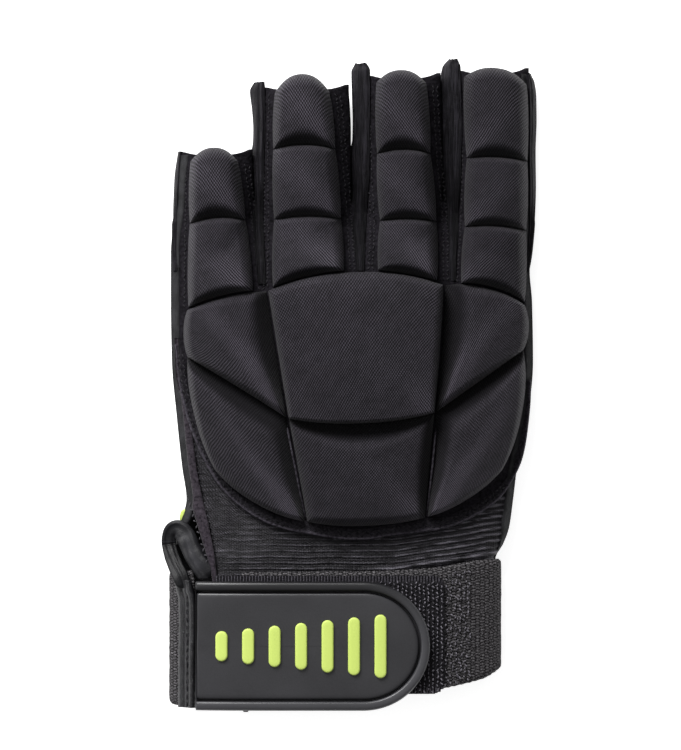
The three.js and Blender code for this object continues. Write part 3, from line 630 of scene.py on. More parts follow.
def buildStrip(tree):
    # Leather with creases along the strip, and the painted highlights and painted shade of its lit mark
    tone, height = buildLeather(tree)
    creases = noiseAt(tree, timesEach(tree, onCloth(tree), (2.2, 0.12, 1.0)), 1.0, 3.0)
    creases = between(tree, creases, 0.35, 0.65)
    tone = times(tree, timesPlus(tree, creases, 0.9, 0.15), plus(tree, tone, 0.3))
    return times(tree, tone, mark(tree, "lit")), timesPlus(tree, creases, 0.35, height)


def buildElastic(tree):
    place = onCloth(tree)
    cords = pattern(tree, "cords", place, Cord=1.4, Thread=0.85)
    fuzz = pattern(tree, "fuzz", place, Size=0.6)
    woven = times(tree, cords["Tone"], plus(tree, fuzz["Tone"], 0.1))
    height = timesPlus(tree, fuzz["Height"], 0.6, cords["Height"])
    return between(tree, woven, 0.1, 0.5), times(tree, height, 0.4)


def buildPile(tree):
    fuzz = pattern(tree, "fuzz", onObject(tree), Size=0.5)
    return fuzz["Tone"], times(tree, fuzz["Height"], 0.12)


def buildGround(tree):
    fuzz = pattern(tree, "fuzz", onCloth(tree), Size=0.6)
    tone = times(tree, mark(tree, "comb"), plus(tree, fuzz["Tone"], 0.3))
    return timesPlus(tree, fuzz["Tone"], 0.25, tone), times(tree, fuzz["Height"], 0.25)


def buildRubber(tree):
    place = onObject(tree)
    speck = noiseAt(tree, place, 2.2, 3.0)
    tone = plus(tree, plus(tree, times(tree, speck, 0.3), mottle(tree, place, 18, 0.5)), 0.25)
    # The rim mark adds painted light and shade on the pull tab's rim
    return plus(tree, tone, mark(tree, "rim")), times(tree, speck, 0.02)


def buildThread(tree):
    speck = noiseAt(tree, onObject(tree), 5.0, 2.0)
    return speck, times(tree, speck, 0.05)


def finishMaterial(name, build):
    look = looks[name]
    material = bpy.data.materials.new(name)
    material.use_nodes = True
    tree = material.node_tree
    shader = tree.nodes["Principled BSDF"]
    tone, height = build(tree)
    colours = {"Factor": tone, 6: (*look["dark"], 1), 7: (*look["light"], 1)}
    colour = put(tree, "Mix", colours, data_type="RGBA")
    tree.links.new(colour.outputs[2], shader.inputs["Base Color"])
    bump = put(tree, "Bump", {"Height": height, "Strength": 1.0, "Distance": mm})
    tree.links.new(bump.outputs["Normal"], shader.inputs["Normal"])
    shader.inputs["Roughness"].default_value = look["roughness"]
    shader.inputs["Specular IOR Level"].default_value = look["specular"]
    shader.inputs["Sheen Weight"].default_value = look.get("sheen", 0.0)
    if "dull" in look:
        # The finish is duller where this mark is high
        rough = timesPlus(tree, mark(tree, look["dull"]), 0.3, look["roughness"])
        tree.links.new(rough, shader.inputs["Roughness"])
    material.diffuse_color = (*look["light"], 1)
    return material


materials = {name: finishMaterial(name, build) for name, build in {
    "padKnit": buildPad,
    "baseKnit": cloudy("fuzz", onCloth, 0.95, 5, 0.8, 0.3),
    "rimKnit": buildRim,
    "ribbedKnit": buildRib,
    "stripLeather": buildStrip,
    "sideFelt": cloudy("fuzz", onCloth, 0.9, 3, 0.5, 0.16),
    "trimLeather": buildLeather,
    "bindingLeather": buildBinding,
    "strapElastic": buildElastic,
    "loopPile": buildPile,
    "pileGround": buildGround,
    "tabRubber": buildRubber,
    "limeRubber": buildRubber,
    "palmLeather": cloudy("grain", onObject, 0.8, 12, 0.8, 0.14),
    "thread": buildThread,
    "bandThread": buildThread,
}.items()}
print("materials made:", len(materials))


# Back, palm and the panels on them

# grid: rows below and above the forks, then columns, in each finger's strip
backSheet = {"thickness": 1.3, "grid": (90, 46, 40), "tipWave": 1.4, "waves": [(0.06, 7, 11)]}
# over: how far its outer edges wrap over the back, and in which steps
palmSheet = {"thickness": 1.2, "grid": (110, 40, 34), "over": 2.0, "lift": 0.4, "overFrom": (-52, -40),
             "turn": (0.0, 0.35, 0.7, 1.0)}
thumbHole = {"x": 36.0, "y": -13.0, "halfWidth": 12.0, "halfLength": 17.0}


def makeBack():
    grids = []
    for index in range(4):
        x, y = stripGrid(index, rimAt, *backSheet["grid"], backSheet["tipWave"])
        z = backHeight(x, y) + uneven(x, y, backSheet["waves"])
        grids.append((np.stack([x, y, z], -1), np.stack([x, y], -1)))
    points, places, faces = joinGrids(grids)
    mesh = makeMesh("backSheet", points, faces, places)
    weld(mesh)
    nodes = ["back_base"] + [f"back_{finger}" for finger in fingers]
    piece = makePiece("backSheet", mesh, "baseKnit", nodes)
    thicken(piece, backSheet["thickness"])


def palmLevel(index, x, y):
    # The palm's curl follows the whole hand below the forks and each finger above them
    handRow = readTable(hand, y)
    low = palmHeight(x, handRow["left"], handRow["right"], handRow["floor"])
    left, right = fingerSides(index, y)
    apart = smoothStep(fork["height"] - 8, fork["height"] + 1, y)
    return np.where(apart > 0, (1 - apart) * low + apart * palmHeight(x, left, right, 0), low)


def palmTurn(x, y, outward):
    # The outer edge wraps up over the edge of the back as a narrow band
    reach = palmSheet["over"] * smoothStep(*palmSheet["overFrom"], y)
    turn = [np.stack([x + outward * 0.25, y, np.full(len(x), seamHeight + 0.8)], -1)]
    for share in palmSheet["turn"]:
        over = x - outward * (0.15 + reach * share)
        turn.append(np.stack([over, y, backHeight(over, y) + palmSheet["lift"] * (reach > 0)], -1))
    return np.stack(turn, 1)


def makePalm():
    grids = []
    for index in range(4):
        x, y = stripGrid(index, wristEndAt, *palmSheet["grid"])
        xyz = np.stack([x, y, palmLevel(index, x, y)], -1)
        if index == 0:
            xyz = np.concatenate([palmTurn(x[:, 0], y[:, 0], -1)[:, ::-1], xyz], 1)
        if index == 3:
            xyz = np.concatenate([xyz, palmTurn(x[:, -1], y[:, -1], 1)], 1)
        grids.append((xyz, xyz[..., :2]))
    points, places, faces = joinGrids(grids)
    centre = points[faces].mean(1)
    radius = np.hypot((centre[:, 0] - thumbHole["x"]) / thumbHole["halfWidth"],
                      (centre[:, 1] - thumbHole["y"]) / thumbHole["halfLength"])
    faces = faces[(radius > 1) | (centre[:, 2] > seamHeight)]
    mesh = makeMesh("palmSheet", points, faces, places)
    weld(mesh)
    nodes = ["palm", "palm_cuff"] + [f"palm_{finger}" for finger in fingers]
    piece = makePiece("palmSheet", mesh, "palmLeather", nodes)
    thicken(piece, palmSheet["thickness"])


# The ribs slope up from slopeFrom towards the thumb side; a finer one between two fades out there
rib = {"pitch": 1.78, "depth": 0.85, "slopeFrom": 13.0, "slope": 0.15, "until": -58.5, "rows": 230,
       "rowsPlain": 10, "columns": 130, "thickness": 1.3, "wander": (0.25, 16, 5), "waves": (0.12, 6, 6),
       "finer": 0.5, "finerFades": (20, 46), "deepens": (24, 46), "highlightGrows": (0, 44), "ends": (-56, -58),
       "hemFrom": 6.0, "hemAt": -55.4, "hemHeight": 1.2, "hemWidth": 0.7}
bandEdge = makeTable("x y", [(-39.9, -110), (-39.4, -60), (-39.9, -53.3), (-41.7, -43.6), (-43.8, -34.6),
                             (-45.6, -25.6), (-46.8, -16.6), (-48.9, -6), (-51.8, 8), (-53, 20)])
slitEdge = makeTable("x y", [(-40.9, -110), (-41.2, -60.2), (-42.4, -53.6), (-44.0, -48.2), (-48.3, -34.6),
                             (-49.4, -31.4), (-53, -26)])


def bandEdgeAt(y):
    return smoothRead(bandEdge["y"], bandEdge["x"], y)


def slitEdgeAt(y):
    return smoothRead(slitEdge["y"], slitEdge["x"], y)


def ribX(share, y):
    left, right = bandEdgeAt(y) + 0.2, readTable(hand, y)["right"] - 0.1
    return left + (right - left) * share


def ribSlope(x):
    return rib["slope"] * np.clip(x - rib["slopeFrom"], 0, None)


def makeRibPanel():
    share = np.linspace(0, 1, rib["columns"])
    share = 0.5 * share + 0.5 * np.sin(share * math.pi / 2)
    start = np.full(rib["columns"], settle["from"])
    for _ in range(settle["passes"]):
        middle = ribX(share, start)
        start = rimAt(middle) + 1.0
    stop = rib["until"] + ribSlope(middle)
    ribbed = start + (stop - start) * np.linspace(0, 1, rib["rows"], endpoint=False)[:, None]
    plain = stop + (wristEndAt(middle) - stop) * np.linspace(0, 1, rib["rowsPlain"])[:, None]
    y = np.vstack([ribbed, plain])
    x = ribX(share, y)
    lifted = y - ribSlope(x) + uneven(x, y, [rib["wander"]])
    crest = (0.5 + 0.5 * np.cos(2 * math.pi * lifted / rib["pitch"])) ** 1.1
    number = np.round(lifted / rib["pitch"])
    crest = crest * np.clip(0.75 + 0.45 * ripple(x, number * 37, 7, 15), 0.25, 1.15)
    second = rib["finer"] - 0.3 * smoothStep(*rib["finerFades"], x)
    finer = (0.5 + 0.5 * np.cos(4 * math.pi * lifted / rib["pitch"] + 0.7)) * second
    crest = crest * (1 - second) + finer * np.clip(0.7 + 0.6 * ripple(x, number * 53, 5, 16), 0.1, 1.2)
    fade = 1 - smoothStep(*rib["ends"], y)
    depth = rib["depth"] * (0.72 + 0.28 * smoothStep(*rib["deepens"], x))
    z = backHeight(x, y) + (crest - 0.5) * depth * fade + uneven(x, y, [rib["waves"]]) - 0.1
    # A rolled hem runs along the strap on the thumb side
    hem = bell(y - ribSlope(x), rib["hemAt"], rib["hemWidth"])
    hem = hem * smoothStep(rib["hemFrom"], rib["hemFrom"] + 9, x)
    z = z + rib["hemHeight"] * hem
    # Painted highlight on the rib crests and painted shade between them, growing towards the thumb side;
    # along the rolled hem the mark is set high, so the hem is lighter
    crest = crest ** 2 * (1.25 + 1.85 * smoothStep(*rib["highlightGrows"], x)) * (1 - hem) + 1.1 * hem
    piece = makeSheet("ribPanel", np.stack([x, y, z], -1), "ribbedKnit", ["rib_panel"],
                      rib["thickness"], {"crest": crest})


band = {"lift": 0.35, "swell": 0.5, "thickness": 1.2, "top": 14.0, "bottom": -60.0, "rows": 190,
        "columns": 18, "edge": 1.7, "waves": [(0.1, 3, 8)]}


def makeSideBand():
    y = np.linspace(band["bottom"], band["top"], band["rows"])[:, None]
    share = np.linspace(0, 1, band["columns"])
    left = np.maximum(readTable(hand, y)["left"] + band["edge"], slitEdgeAt(y) + 0.3)
    right = np.maximum(bandEdgeAt(y) - 0.1, left + 0.3)
    x = left + (right - left) * share
    swell = band["swell"] * (1 - np.abs(2 * share - 1) ** 3) ** 0.6
    z = backHeight(x, y) + band["lift"] + swell + uneven(x, y, band["waves"])
    grid = np.stack([x, np.broadcast_to(y, x.shape), z], -1)
    piece = makeSheet("sideBand", grid, "sideFelt", ["side_band"], band["thickness"])


# Heights over the back at its outer and inner side; a piping runs along the outer one, then a furrow
rim = {"width": 3.5, "low": 0.3, "outer": 1.8, "inner": 0.9, "around": 44, "piping": 0.5, "furrow": 0.4,
       "notch": 0.45, "notchReach": 2.2, "waves": [(0.08, 3.5, 21), (0.07, 1.3, 22)]}


def sweep(line, across, up, section):
    # A section (around, 2) carried along a line: across and up are the directions at each point
    return line[:, None] + across[:, None] * section[None, :, :1] + up[:, None] * section[None, :, 1:2]


def surfaceUp(x, y, step=0.3):
    slopeX = (backHeight(x + step, y) - backHeight(x - step, y)) / (2 * step)
    slopeY = (backHeight(x, y + step) - backHeight(x, y - step)) / (2 * step)
    up = np.stack([-slopeX, -slopeY, np.ones_like(slopeX)], -1)
    return up / np.linalg.norm(up, axis=-1, keepdims=True)


def rimPath(inset, lift):
    # The rim's line moved inwards, on the back; it reaches further in where two pads' corners meet it
    flat = rimCurve.copy()
    along = tangents(flat)
    notches = [padCorners[corner][0] for corner in ("lowLeft", "lowRight")]
    notch = sum(bell(flat[:, 0], x, rim["notchReach"]) for x in notches)
    inset = inset * (1 + rim["notch"] * notch[:, None])
    flat = flat + inset * np.stack([-along[:, 1], along[:, 0]], -1)
    z = backHeight(np.clip(flat[:, 0], -53, 54.5), flat[:, 1]) + lift
    return np.column_stack([flat, z])


def makeRim():
    inner, outer = rimPath(rim["width"], 0), rimPath(0, 0)
    across = np.column_stack([inner[:, :2] - outer[:, :2], np.zeros(len(outer))])
    up = np.tile([0, 0, 1.0], (len(outer), 1))
    angle = np.linspace(0, 2 * math.pi, rim["around"], endpoint=False)
    reach = 0.5 - 0.5 * np.sign(np.cos(angle)) * np.abs(np.cos(angle)) ** 0.8
    top = rim["outer"] + (rim["inner"] - rim["outer"]) * smoothStep(0.2, 1, reach)
    top = top + rim["piping"] * bell(reach, 0.1, 0.07) - rim["furrow"] * bell(reach, 0.33, 0.1)
    rise = np.where(np.sin(angle) >= 0, top * np.abs(np.sin(angle)) ** 0.5, rim["low"])
    rings = sweep(outer, across, up, np.stack([reach, rise], -1))
    rings[..., 2] += uneven(rings[..., 0], rings[..., 1], rim["waves"])
    # Painted highlight along the rim's outer edge, which lies in the pads' shade
    edge = np.append(np.broadcast_to(bell(reach, 0.12, 0.13), rings.shape[:2]), [0, 0])
    makeSolid("panelRim", *closeTube(rings), "rimKnit", "base_knit", ["panel_rim"], {"edge": edge})


# Padding: corners in mm, and how far each side bows to its left from the first corner to the second

padCorners = {
    "kneeLeft": (-24.6, 27.9), "kneeRight": (28.7, 29.7), "midLeft": (-18.4, -10.2), "midRight": (25.9, -8.4),
    "lowLeft": (-12.8, -41.1), "lowRight": (23.1, -39.8), "pinkyTop": (-48.9, 22.2), "pinkyMid": (-48.9, 8.4),
    "pinkyLow": (-40.5, -25.3), "indexTop": (53.1, 23.7), "indexMid": (52.8, 10.6), "indexLow": (46.2, -25.5),
}
handSides = {
    ("kneeLeft", "kneeRight"): 4.9, ("kneeRight", "midRight"): 0.3, ("midRight", "midLeft"): 2.3,
    ("midLeft", "kneeLeft"): 0.0, ("pinkyTop", "kneeLeft"): 1.2, ("midLeft", "pinkyMid"): -0.3,
    ("pinkyMid", "pinkyTop"): 1.2, ("midLeft", "lowLeft"): 0.0, ("lowLeft", "pinkyLow"): 2.8,
    ("pinkyLow", "pinkyMid"): 2.2, ("midRight", "lowRight"): 0.0, ("lowRight", "lowLeft"): 1.9,
    ("kneeRight", "indexTop"): 2.3, ("indexTop", "indexMid"): 1.5, ("indexMid", "midRight"): 0.0,
    ("indexMid", "indexLow"): 3.0, ("indexLow", "lowRight"): 2.0,
}
# name: four corners from the top left clockwise, height, pull towards the lower right (1) or left (-1)
# corner, which turns the threads and lays a painted sheen highlight on that corner's ridge, then each side's
# slope as its width at the start, middle and end: top and bottom from the left, right and left side from the
# top
handPads = {
    "knuckle": ("kneeLeft kneeRight midRight midLeft", 10.0, 0.25,
                ((2.2, 2.2, 2.2), (2.0, 2.2, 1.6), (0.9, 0.9, 0.9), (1.8, 2.0, 1.6))),
    "pinky_upper": ("pinkyTop kneeLeft midLeft pinkyMid", 7.6, 1,
                    ((2.4, 2.4, 2.4), (6.6, 8.6, 1.8), (1.8, 2.6, 1.8), (3.0, 3.0, 3.0))),
    "pinky_lower": ("pinkyMid midLeft lowLeft pinkyLow", 7.2, 1,
                    ((4.0, 10.5, 11.5), (9.0, 7.0, 1.8), (3.0, 2.4, 1.6), (3.0, 3.0, 3.0))),
    "centre_lower": ("midLeft midRight lowRight lowLeft", 7.6, 0.4,
                     ((2.2, 9.0, 2.2), (2.6, 5.0, 3.2), (2.4, 3.0, 2.4), (2.4, 3.6, 2.8))),
    "index_upper": ("kneeRight indexTop indexMid midRight", 7.6, -1,
                    ((2.4, 2.4, 2.4), (3.0, 3.0, 3.0), (1.8, 2.6, 2.0), (9.5, 10.0, 2.4))),
    "index_lower": ("midRight indexMid indexLow lowRight", 7.2, -1,
                    ((11.0, 9.5, 4.0), (3.0, 3.0, 3.0), (1.6, 2.6, 3.0), (9.5, 7.5, 1.8))),
}
# Share of the knit's tone that a pad loses all over, as painted shade
handShade = {"centre_lower": 0.16, "pinky_upper": 0.1, "pinky_lower": 0.14, "index_upper": 0.14}
# Lines across each finger from its tip: left x y, right x y, bow towards the tip
fingerLevels = {
    "pinky": [(-48.0, 66.6, -33.0, 66.4, 4.7), (-48.2, 48.1, -30.8, 49.3, 1.35),
              (-48.6, 23, -28.4, 28.2, 0.9)],
    "ring": [(-22.6, 87.3, -5.5, 87.3, 6.0), (-23.1, 70.5, -3.8, 70.6, 1.35), (-22.8, 49.5, -2.1, 49.7, 0.9),
             (-23.1, 29.0, -1.2, 34.1, 0.9)],
    "middle": [(7.9, 90.4, 23.6, 90.0, 4.3), (8.1, 69.2, 24.8, 69.2, 1.35), (9, 49.1, 26.6, 48.9, 0.75),
               (8.4, 34.3, 26.7, 31.0, 0.5)],
    "index": [(34.2, 92.2, 53.9, 89.6, 4.2), (35.1, 68, 54, 67, 0.75), (34.5, 47.3, 53.7, 46.1, 0.9),
              (33.3, 30.4, 53.2, 24.6, 1.6)],
}
# shade: share of the knit's tone that a finger's pads lose all over, as painted shade
fingerPad = {"height": 7.7, "bowSide": 0.45, "tipSlope": (3.0, 3.0, 3.0),
             "slopes": ((1.8, 1.8, 1.8), (3.6, 3.6, 2.6), (0.6, 3.3, 0.6), (3.2, 3.2, 2.4)),
             "firstLens": (0.6, 4.1, 0.6), "pull": {"index": -0.3}, "shade": {"middle": 0.16, "index": 0.24}}
padForm = {"edge": 0.4, "cell": 0.33, "sharpness": 3.2, "crown": 0.8, "unevenness": 0.13, "gap": 0.35,
           # a slope this short is a quarter circle, and each mm more makes it straighter
           "crisp": 2.6, "straighten": 0.10,
           # the ridge that runs from one lower corner, where the threads turn and a painted sheen highlight
           # lies: how strong, wide and long
           "ridge": (1.7, 5.0, 22.0),
           # wide valleys get painted shade, from which share of their depth on; a slope counts as one where
           # it gets wider than the first width or narrower than the second
           "valleyShade": 0.84, "valley": (0.22, 0.58), "valleyWidths": (3.8, 1)}


def bowedSide(start, end, bow, share):
    # A side between two corners that bows to its left, with rounder shoulders than a parabola
    start, end = np.array(start, float), np.array(end, float)
    along = end - start
    left = np.array([-along[1], along[0]]) / np.linalg.norm(along)
    return start + along * share[:, None] + left * (bow * (1 - np.abs(2 * share - 1) ** 2.3))[:, None]


def alongSide(widths, share):
    # The parabola through the widths at the start, the middle and the end of a side
    start, middle, end = widths
    return start + (4 * middle - 3 * start - end) * share + 2 * (start + end - 2 * middle) * share ** 2


def makePad(name, corners, bows, slopes, height, pull, node, seed, shade=0.0):
    # Coons patch between four bowed sides; the height rises from each side by a rounded slope, and a
    # smooth minimum of the four rises leaves a soft ridge in each corner
    topLeft, topRight, lowRight, lowLeft = (np.array(corner, float) for corner in corners)
    width = (np.linalg.norm(topRight - topLeft) + np.linalg.norm(lowRight - lowLeft)) / 2
    length = (np.linalg.norm(topRight - lowRight) + np.linalg.norm(topLeft - lowLeft)) / 2

    u, v = (crowded(max(24, int(size / padForm["cell"])), 0.4) for size in (width, length))
    right = bowedSide(topRight, lowRight, bows[1], v)
    left = bowedSide(lowLeft, topLeft, bows[3], 1 - v)
    margin = padForm["gap"] / width
    across = margin + (1 - 2 * margin) * u
    top = bowedSide(topLeft, topRight, bows[0], across)
    low = bowedSide(lowRight, lowLeft, bows[2], 1 - across)
    uu, vv = across[None, :, None], v[:, None, None]
    plan = ((1 - vv) * top[None] + vv * low[None] + (1 - uu) * left[:, None] + uu * right[:, None]
            - (1 - uu) * (1 - vv) * topLeft - uu * (1 - vv) * topRight
            - uu * vv * lowRight - (1 - uu) * vv * lowLeft)
    x, y = plan[..., 0], plan[..., 1]
    u, v = np.broadcast_to(u[None], x.shape), np.broadcast_to(v[:, None], x.shape)

    distances = np.stack([v * length, (1 - u) * width, (1 - v) * length, u * width])
    reaches = np.stack([alongSide(widths, share) for widths, share in zip(slopes, (u, v, u, v))])
    straight = 0.5 + padForm["straighten"] * np.clip(reaches - padForm["crisp"], 0, 5)
    rises = (1 - np.clip(1 - distances / reaches, 0, 1) ** 2) ** straight
    sharp = padForm["sharpness"]
    form = ((np.clip(rises, 0.01, 1) ** -sharp).sum(0) - 3) ** (-1 / sharp)
    crown = padForm["crown"] * (1 - (2 * u - 1) ** 2) * (1 - (2 * v - 1) ** 2)
    base = backHeight(x, y) + 0.15
    bumpy = padForm["unevenness"] * uneven(x, y, [(1, 12, seed), (0.5, 4.5, seed + 50)])
    z = base + padForm["edge"] + (height - padForm["edge"]) * form + (crown + bumpy) * form
    # The threads turn along the ridge of one lower corner, and a painted sheen highlight lies on it
    fromSide = ((1 - u) if pull >= 0 else u) * width
    fromLow = (1 - v) * length
    strength, wide, long = padForm["ridge"]
    ridge = bell(fromSide, fromLow, wide) * np.exp(-(fromSide + fromLow) / long)
    twistAndSheen = np.clip(pull * ridge * strength, -0.8, 1)
    # Painted shade: the knit is darker down in the wide valleys, and not on crisp edges, and darker all over
    # by the pad's shade
    most, least = padForm["valleyWidths"]
    wide = np.array([max(widths) > most or min(widths) < least for widths in slopes])[:, None, None]
    deep = smoothStep(*padForm["valley"], 1 - distances / reaches) * smoothStep(0.8, 2.2, reaches) * wide
    paintedShade = 1 - (1 - shade) * (1 - padForm["valleyShade"] * deep.max(0))
    # Walls go down to the back all round, and a fan closes the underside
    rows, columns = x.shape
    number = np.arange(rows * columns).reshape(rows, columns)
    edge = np.concatenate([number[0, :-1], number[:-1, -1], number[-1, :0:-1], number[:0:-1, 0]])
    points = np.stack([x, y, z], -1).reshape(-1, 3)
    foot = points[edge].copy()
    foot[:, 2] = backHeight(foot[:, 0], foot[:, 1]) + 0.02
    start = rows * columns
    k = np.arange(len(edge))
    following = (k + 1) % len(edge)
    walls = np.stack([edge, edge[following], start + following, start + k], -1)
    floor = [(start + b, start + a, start + len(edge)) for a, b in zip(k, following)]
    points = np.vstack([points, foot, foot.mean(0)])
    place = np.stack([u * width, -v * length], -1).reshape(-1, 2)
    place = np.vstack([place, place[edge], [[0, 0]]])
    marks = {label: np.concatenate([values.ravel(), values.ravel()[edge], [0]])
             for label, values in (("twistAndSheen", twistAndSheen), ("paintedShade", paintedShade))}
    faces = [tuple(face) for face in np.vstack([gridFaces(rows, columns), walls])] + floor
    mesh = makeMesh(name, points, faces, place, marks)
    weld(mesh, 0.001)
    piece = makePiece(name, mesh, "padKnit", [node])


def handBow(first, second):
    if (first, second) in handSides:
        return handSides[(first, second)]
    return -handSides[(second, first)]


def makePads():
    seed = 100
    for name, (corners, height, pull, slopes) in handPads.items():
        names = corners.split()
        bows = [handBow(names[k], names[(k + 1) % 4]) for k in range(4)]
        spots = [padCorners[corner] for corner in names]
        makePad(f"pad_{name}_cover", spots, bows, slopes, height, pull, f"pad_{name}", seed,
                handShade.get(name, 0.0))
        seed += 1
    for finger, levels in fingerLevels.items():
        for k, (upper, lower) in enumerate(zip(levels, levels[1:])):
            slopes = list(fingerPad["slopes"])
            if k == 0:
                slopes[0], slopes[2] = fingerPad["tipSlope"], fingerPad["firstLens"]
            corners = [upper[:2], upper[2:4], lower[2:4], lower[:2]]
            bows = [upper[4], fingerPad["bowSide"], -lower[4], fingerPad["bowSide"]]
            node = f"pad_{finger}_{k + 1}"
            makePad(node + "_cover", corners, bows, slopes, fingerPad["height"],
                    fingerPad["pull"].get(finger, 0.5), node, seed, fingerPad["shade"].get(finger, 0.0))
            seed += 1


# Seam cords that stand up in the two valleys beside the lower middle pad

# edge: the cords' value of the rim knit's painted edge highlight, the same all along them
seams = {"width": 0.66, "around": 10, "count": 90, "edge": 0.6}
# x, y and height over the back
seamLines = {
    "left": [(-18.6, -12.6, 2.0), (-17.7, -17.0, 2.8), (-16.1, -25.0, 2.8), (-14.3, -34.0, 1.8),
             (-12.9, -41.0, 0.9)],
    "right": [(26.0, -13.0, 2.0), (25.4, -20.0, 2.8), (24.7, -27.0, 2.8), (23.8, -35.0, 1.8),
              (23.2, -39.8, 0.9)],
}


def makeSeams():
    angle = np.linspace(0, 2 * math.pi, seams["around"], endpoint=False)
    for side, points in seamLines.items():
        curve = smoothCurve(points, seams["count"])
        flat = curve[:, :2]
        along = tangents(flat)
        across = np.column_stack([along[:, 1], -along[:, 0], np.zeros(len(flat))])
        ramp = np.linspace(0, 20, len(flat))
        ends = np.sqrt(np.clip(np.minimum(ramp, ramp[::-1]), 0.05, 1))
        line = np.column_stack([flat, backHeight(flat[:, 0], flat[:, 1]) + curve[:, 2] * ends])
        section = np.column_stack([np.cos(angle), 1.6 * np.sin(angle)]) * seams["width"] / 2
        up = np.tile([0, 0, 1.0], (len(flat), 1)) * ends[:, None]
        points, faces = closeTube(sweep(line, across * ends[:, None], up, section))
        edge = np.full(len(points), seams["edge"])
        makeSolid("seam_" + side, points, faces, "rimKnit", "pad_knit", (), {"edge": edge})


# Leather strips beside the fingers

strips = {
    # y, x of the outer and of the inner edge; the outer edge dips under the neighbouring finger
    "gusset_ring": [[30, -27.2, -24.9], [44, -28.6, -25.4], [53, -29.2, -25.8], [62, -29.7, -25.6],
                    [69, -29.7, -25.4], [73, -29.0, -25.3], [77, -28.9, -25.3], [83, -29.3, -25.2],
                    [88.4, -29.9, -25.2], [91.2, -28.6, -25.4]],
    "gusset_middle": [[34, 2.2, 4.6], [44, 1.2, 4.9], [53, -0.2, 5.6], [62, -0.2, 6.2], [70, 0.2, 6.4],
                      [74, 1.0, 6.4], [80, 1.1, 6.5], [86, 0.9, 6.5], [94.3, 0.7, 6.4], [96.8, 1.8, 5.4]],
    "gusset_index": [[31, 29.4, 32.0], [44, 28.8, 32.6], [53, 27.7, 33.2], [62, 27.3, 33.8], [73, 27.2, 34.0],
                     [88, 27.1, 34.0], [95.8, 28.2, 33.6], [98.1, 30.2, 32.6]],
    "edge_index": [[34, 53.6, 53.1], [40, 54.8, 53.8], [50, 56.0, 54.1], [60, 56.4, 54.0], [70, 56.3, 53.9],
                   [80, 56.6, 53.9], [87, 56.5, 53.8], [91, 56.0, 53.7], [93.6, 54.9, 53.6]],
    "edge_pinky": [[34, -52.2, -51.6], [41, -53.0, -52.0], [52, -53.0, -51.6], [62, -52.7, -51.2],
                   [70.2, -51.6, -50.6]],
}
stripForm = {"thickness": 0.9, "rows": 200, "columns": 22, "folds": 0.22, "deep": 4.2, "stands": 0.45,
             "freeFrom": (48, 60), "ridge": (0.6, 0.28, 0.1), "leastFlat": 10.2}


def makeStrips():
    for seed, (name, rows) in enumerate(strips.items()):
        rows = makeTable("y outer inner", rows)
        share = np.linspace(0, 1, stripForm["columns"])
        y = np.linspace(rows["y"][0], rows["y"][-1], stripForm["rows"])[:, None]
        row = readTable(rows, y)
        free = smoothStep(*stripForm["freeFrom"], y)
        x = row["inner"] + (row["outer"] - row["inner"]) * share
        level = backHeight(row["inner"], np.minimum(y, 86)) + stripForm["stands"]
        sink = stripForm["deep"] * free * share ** 2.2 + 0.25 * (1 - free) * share
        fold = np.sin(share * 13 + 2.5 * ripple(x, y, 26, seed)) + ripple(x, y * 0.3, 4, seed + 9)
        fold = stripForm["folds"] * fold + 0.3 * ripple(x, y, 9, seed + 4) * share
        z = level - sink + fold * (0.35 + 0.65 * free)
        # A fold line stands up along the inner edge
        height, middle, reach = stripForm["ridge"]
        z = z + height * bell(share, middle, reach) * (0.4 + 0.6 * free)
        y = np.broadcast_to(y, x.shape) + 0.25 * ripple(x * 3, y * 0, 3, seed + 20) * smoothStep(80, 97, y)
        grid = np.stack([x, y, z], -1)
        # Painted highlights along two folds on the free part of a gusset; below it, painted shade with a
        # painted highlight along one fold in the middle
        upper = smoothStep(54, 70, y) if name.startswith("gusset") else 1.0
        line = bell(share, 0.26, 0.08) + 0.8 * bell(share, 0.9, 0.1)
        lit = upper * (0.75 + line) + (1 - upper) * (0.1 + 0.9 * bell(share, 0.5, 0.13))
        piece = makeSheet(name + "_leather", grid, "stripLeather", [name],
                          stripForm["thickness"], {"lit": np.broadcast_to(lit, x.shape)})


thumbRing = {"width": 1.9, "height": 1.6, "low": 0.15, "count": 96, "around": 12}


def makeThumbBinding():
    turn = np.linspace(0, 2 * math.pi, thumbRing["count"], endpoint=False)
    angle = np.linspace(0, 2 * math.pi, thumbRing["around"], endpoint=False)
    inset = thumbRing["width"] / 2 * (1 + np.cos(angle))
    level = thumbRing["low"] + thumbRing["height"] / 2 * (1 + np.sin(angle))
    x = thumbHole["x"] + (thumbHole["halfWidth"] + 0.2 - inset[None]) * np.cos(turn)[:, None]
    y = thumbHole["y"] + (thumbHole["halfLength"] + 0.2 - inset[None]) * np.sin(turn)[:, None]
    grid = np.stack([x, y, np.broadcast_to(level[None], x.shape)], -1)
    closed = np.concatenate([grid, grid[:1]])
    mesh = makeMesh("thumbBinding", closed.reshape(-1, 3), gridFaces(*closed.shape[:2], wrapColumns=True),
                    closed[..., :2].reshape(-1, 2))
    weld(mesh)
    makePiece("thumbBinding", mesh, "trimLeather", ["thumb_binding"])


# The slit's binding: a soft flattened tube along its line, pinched where it turns

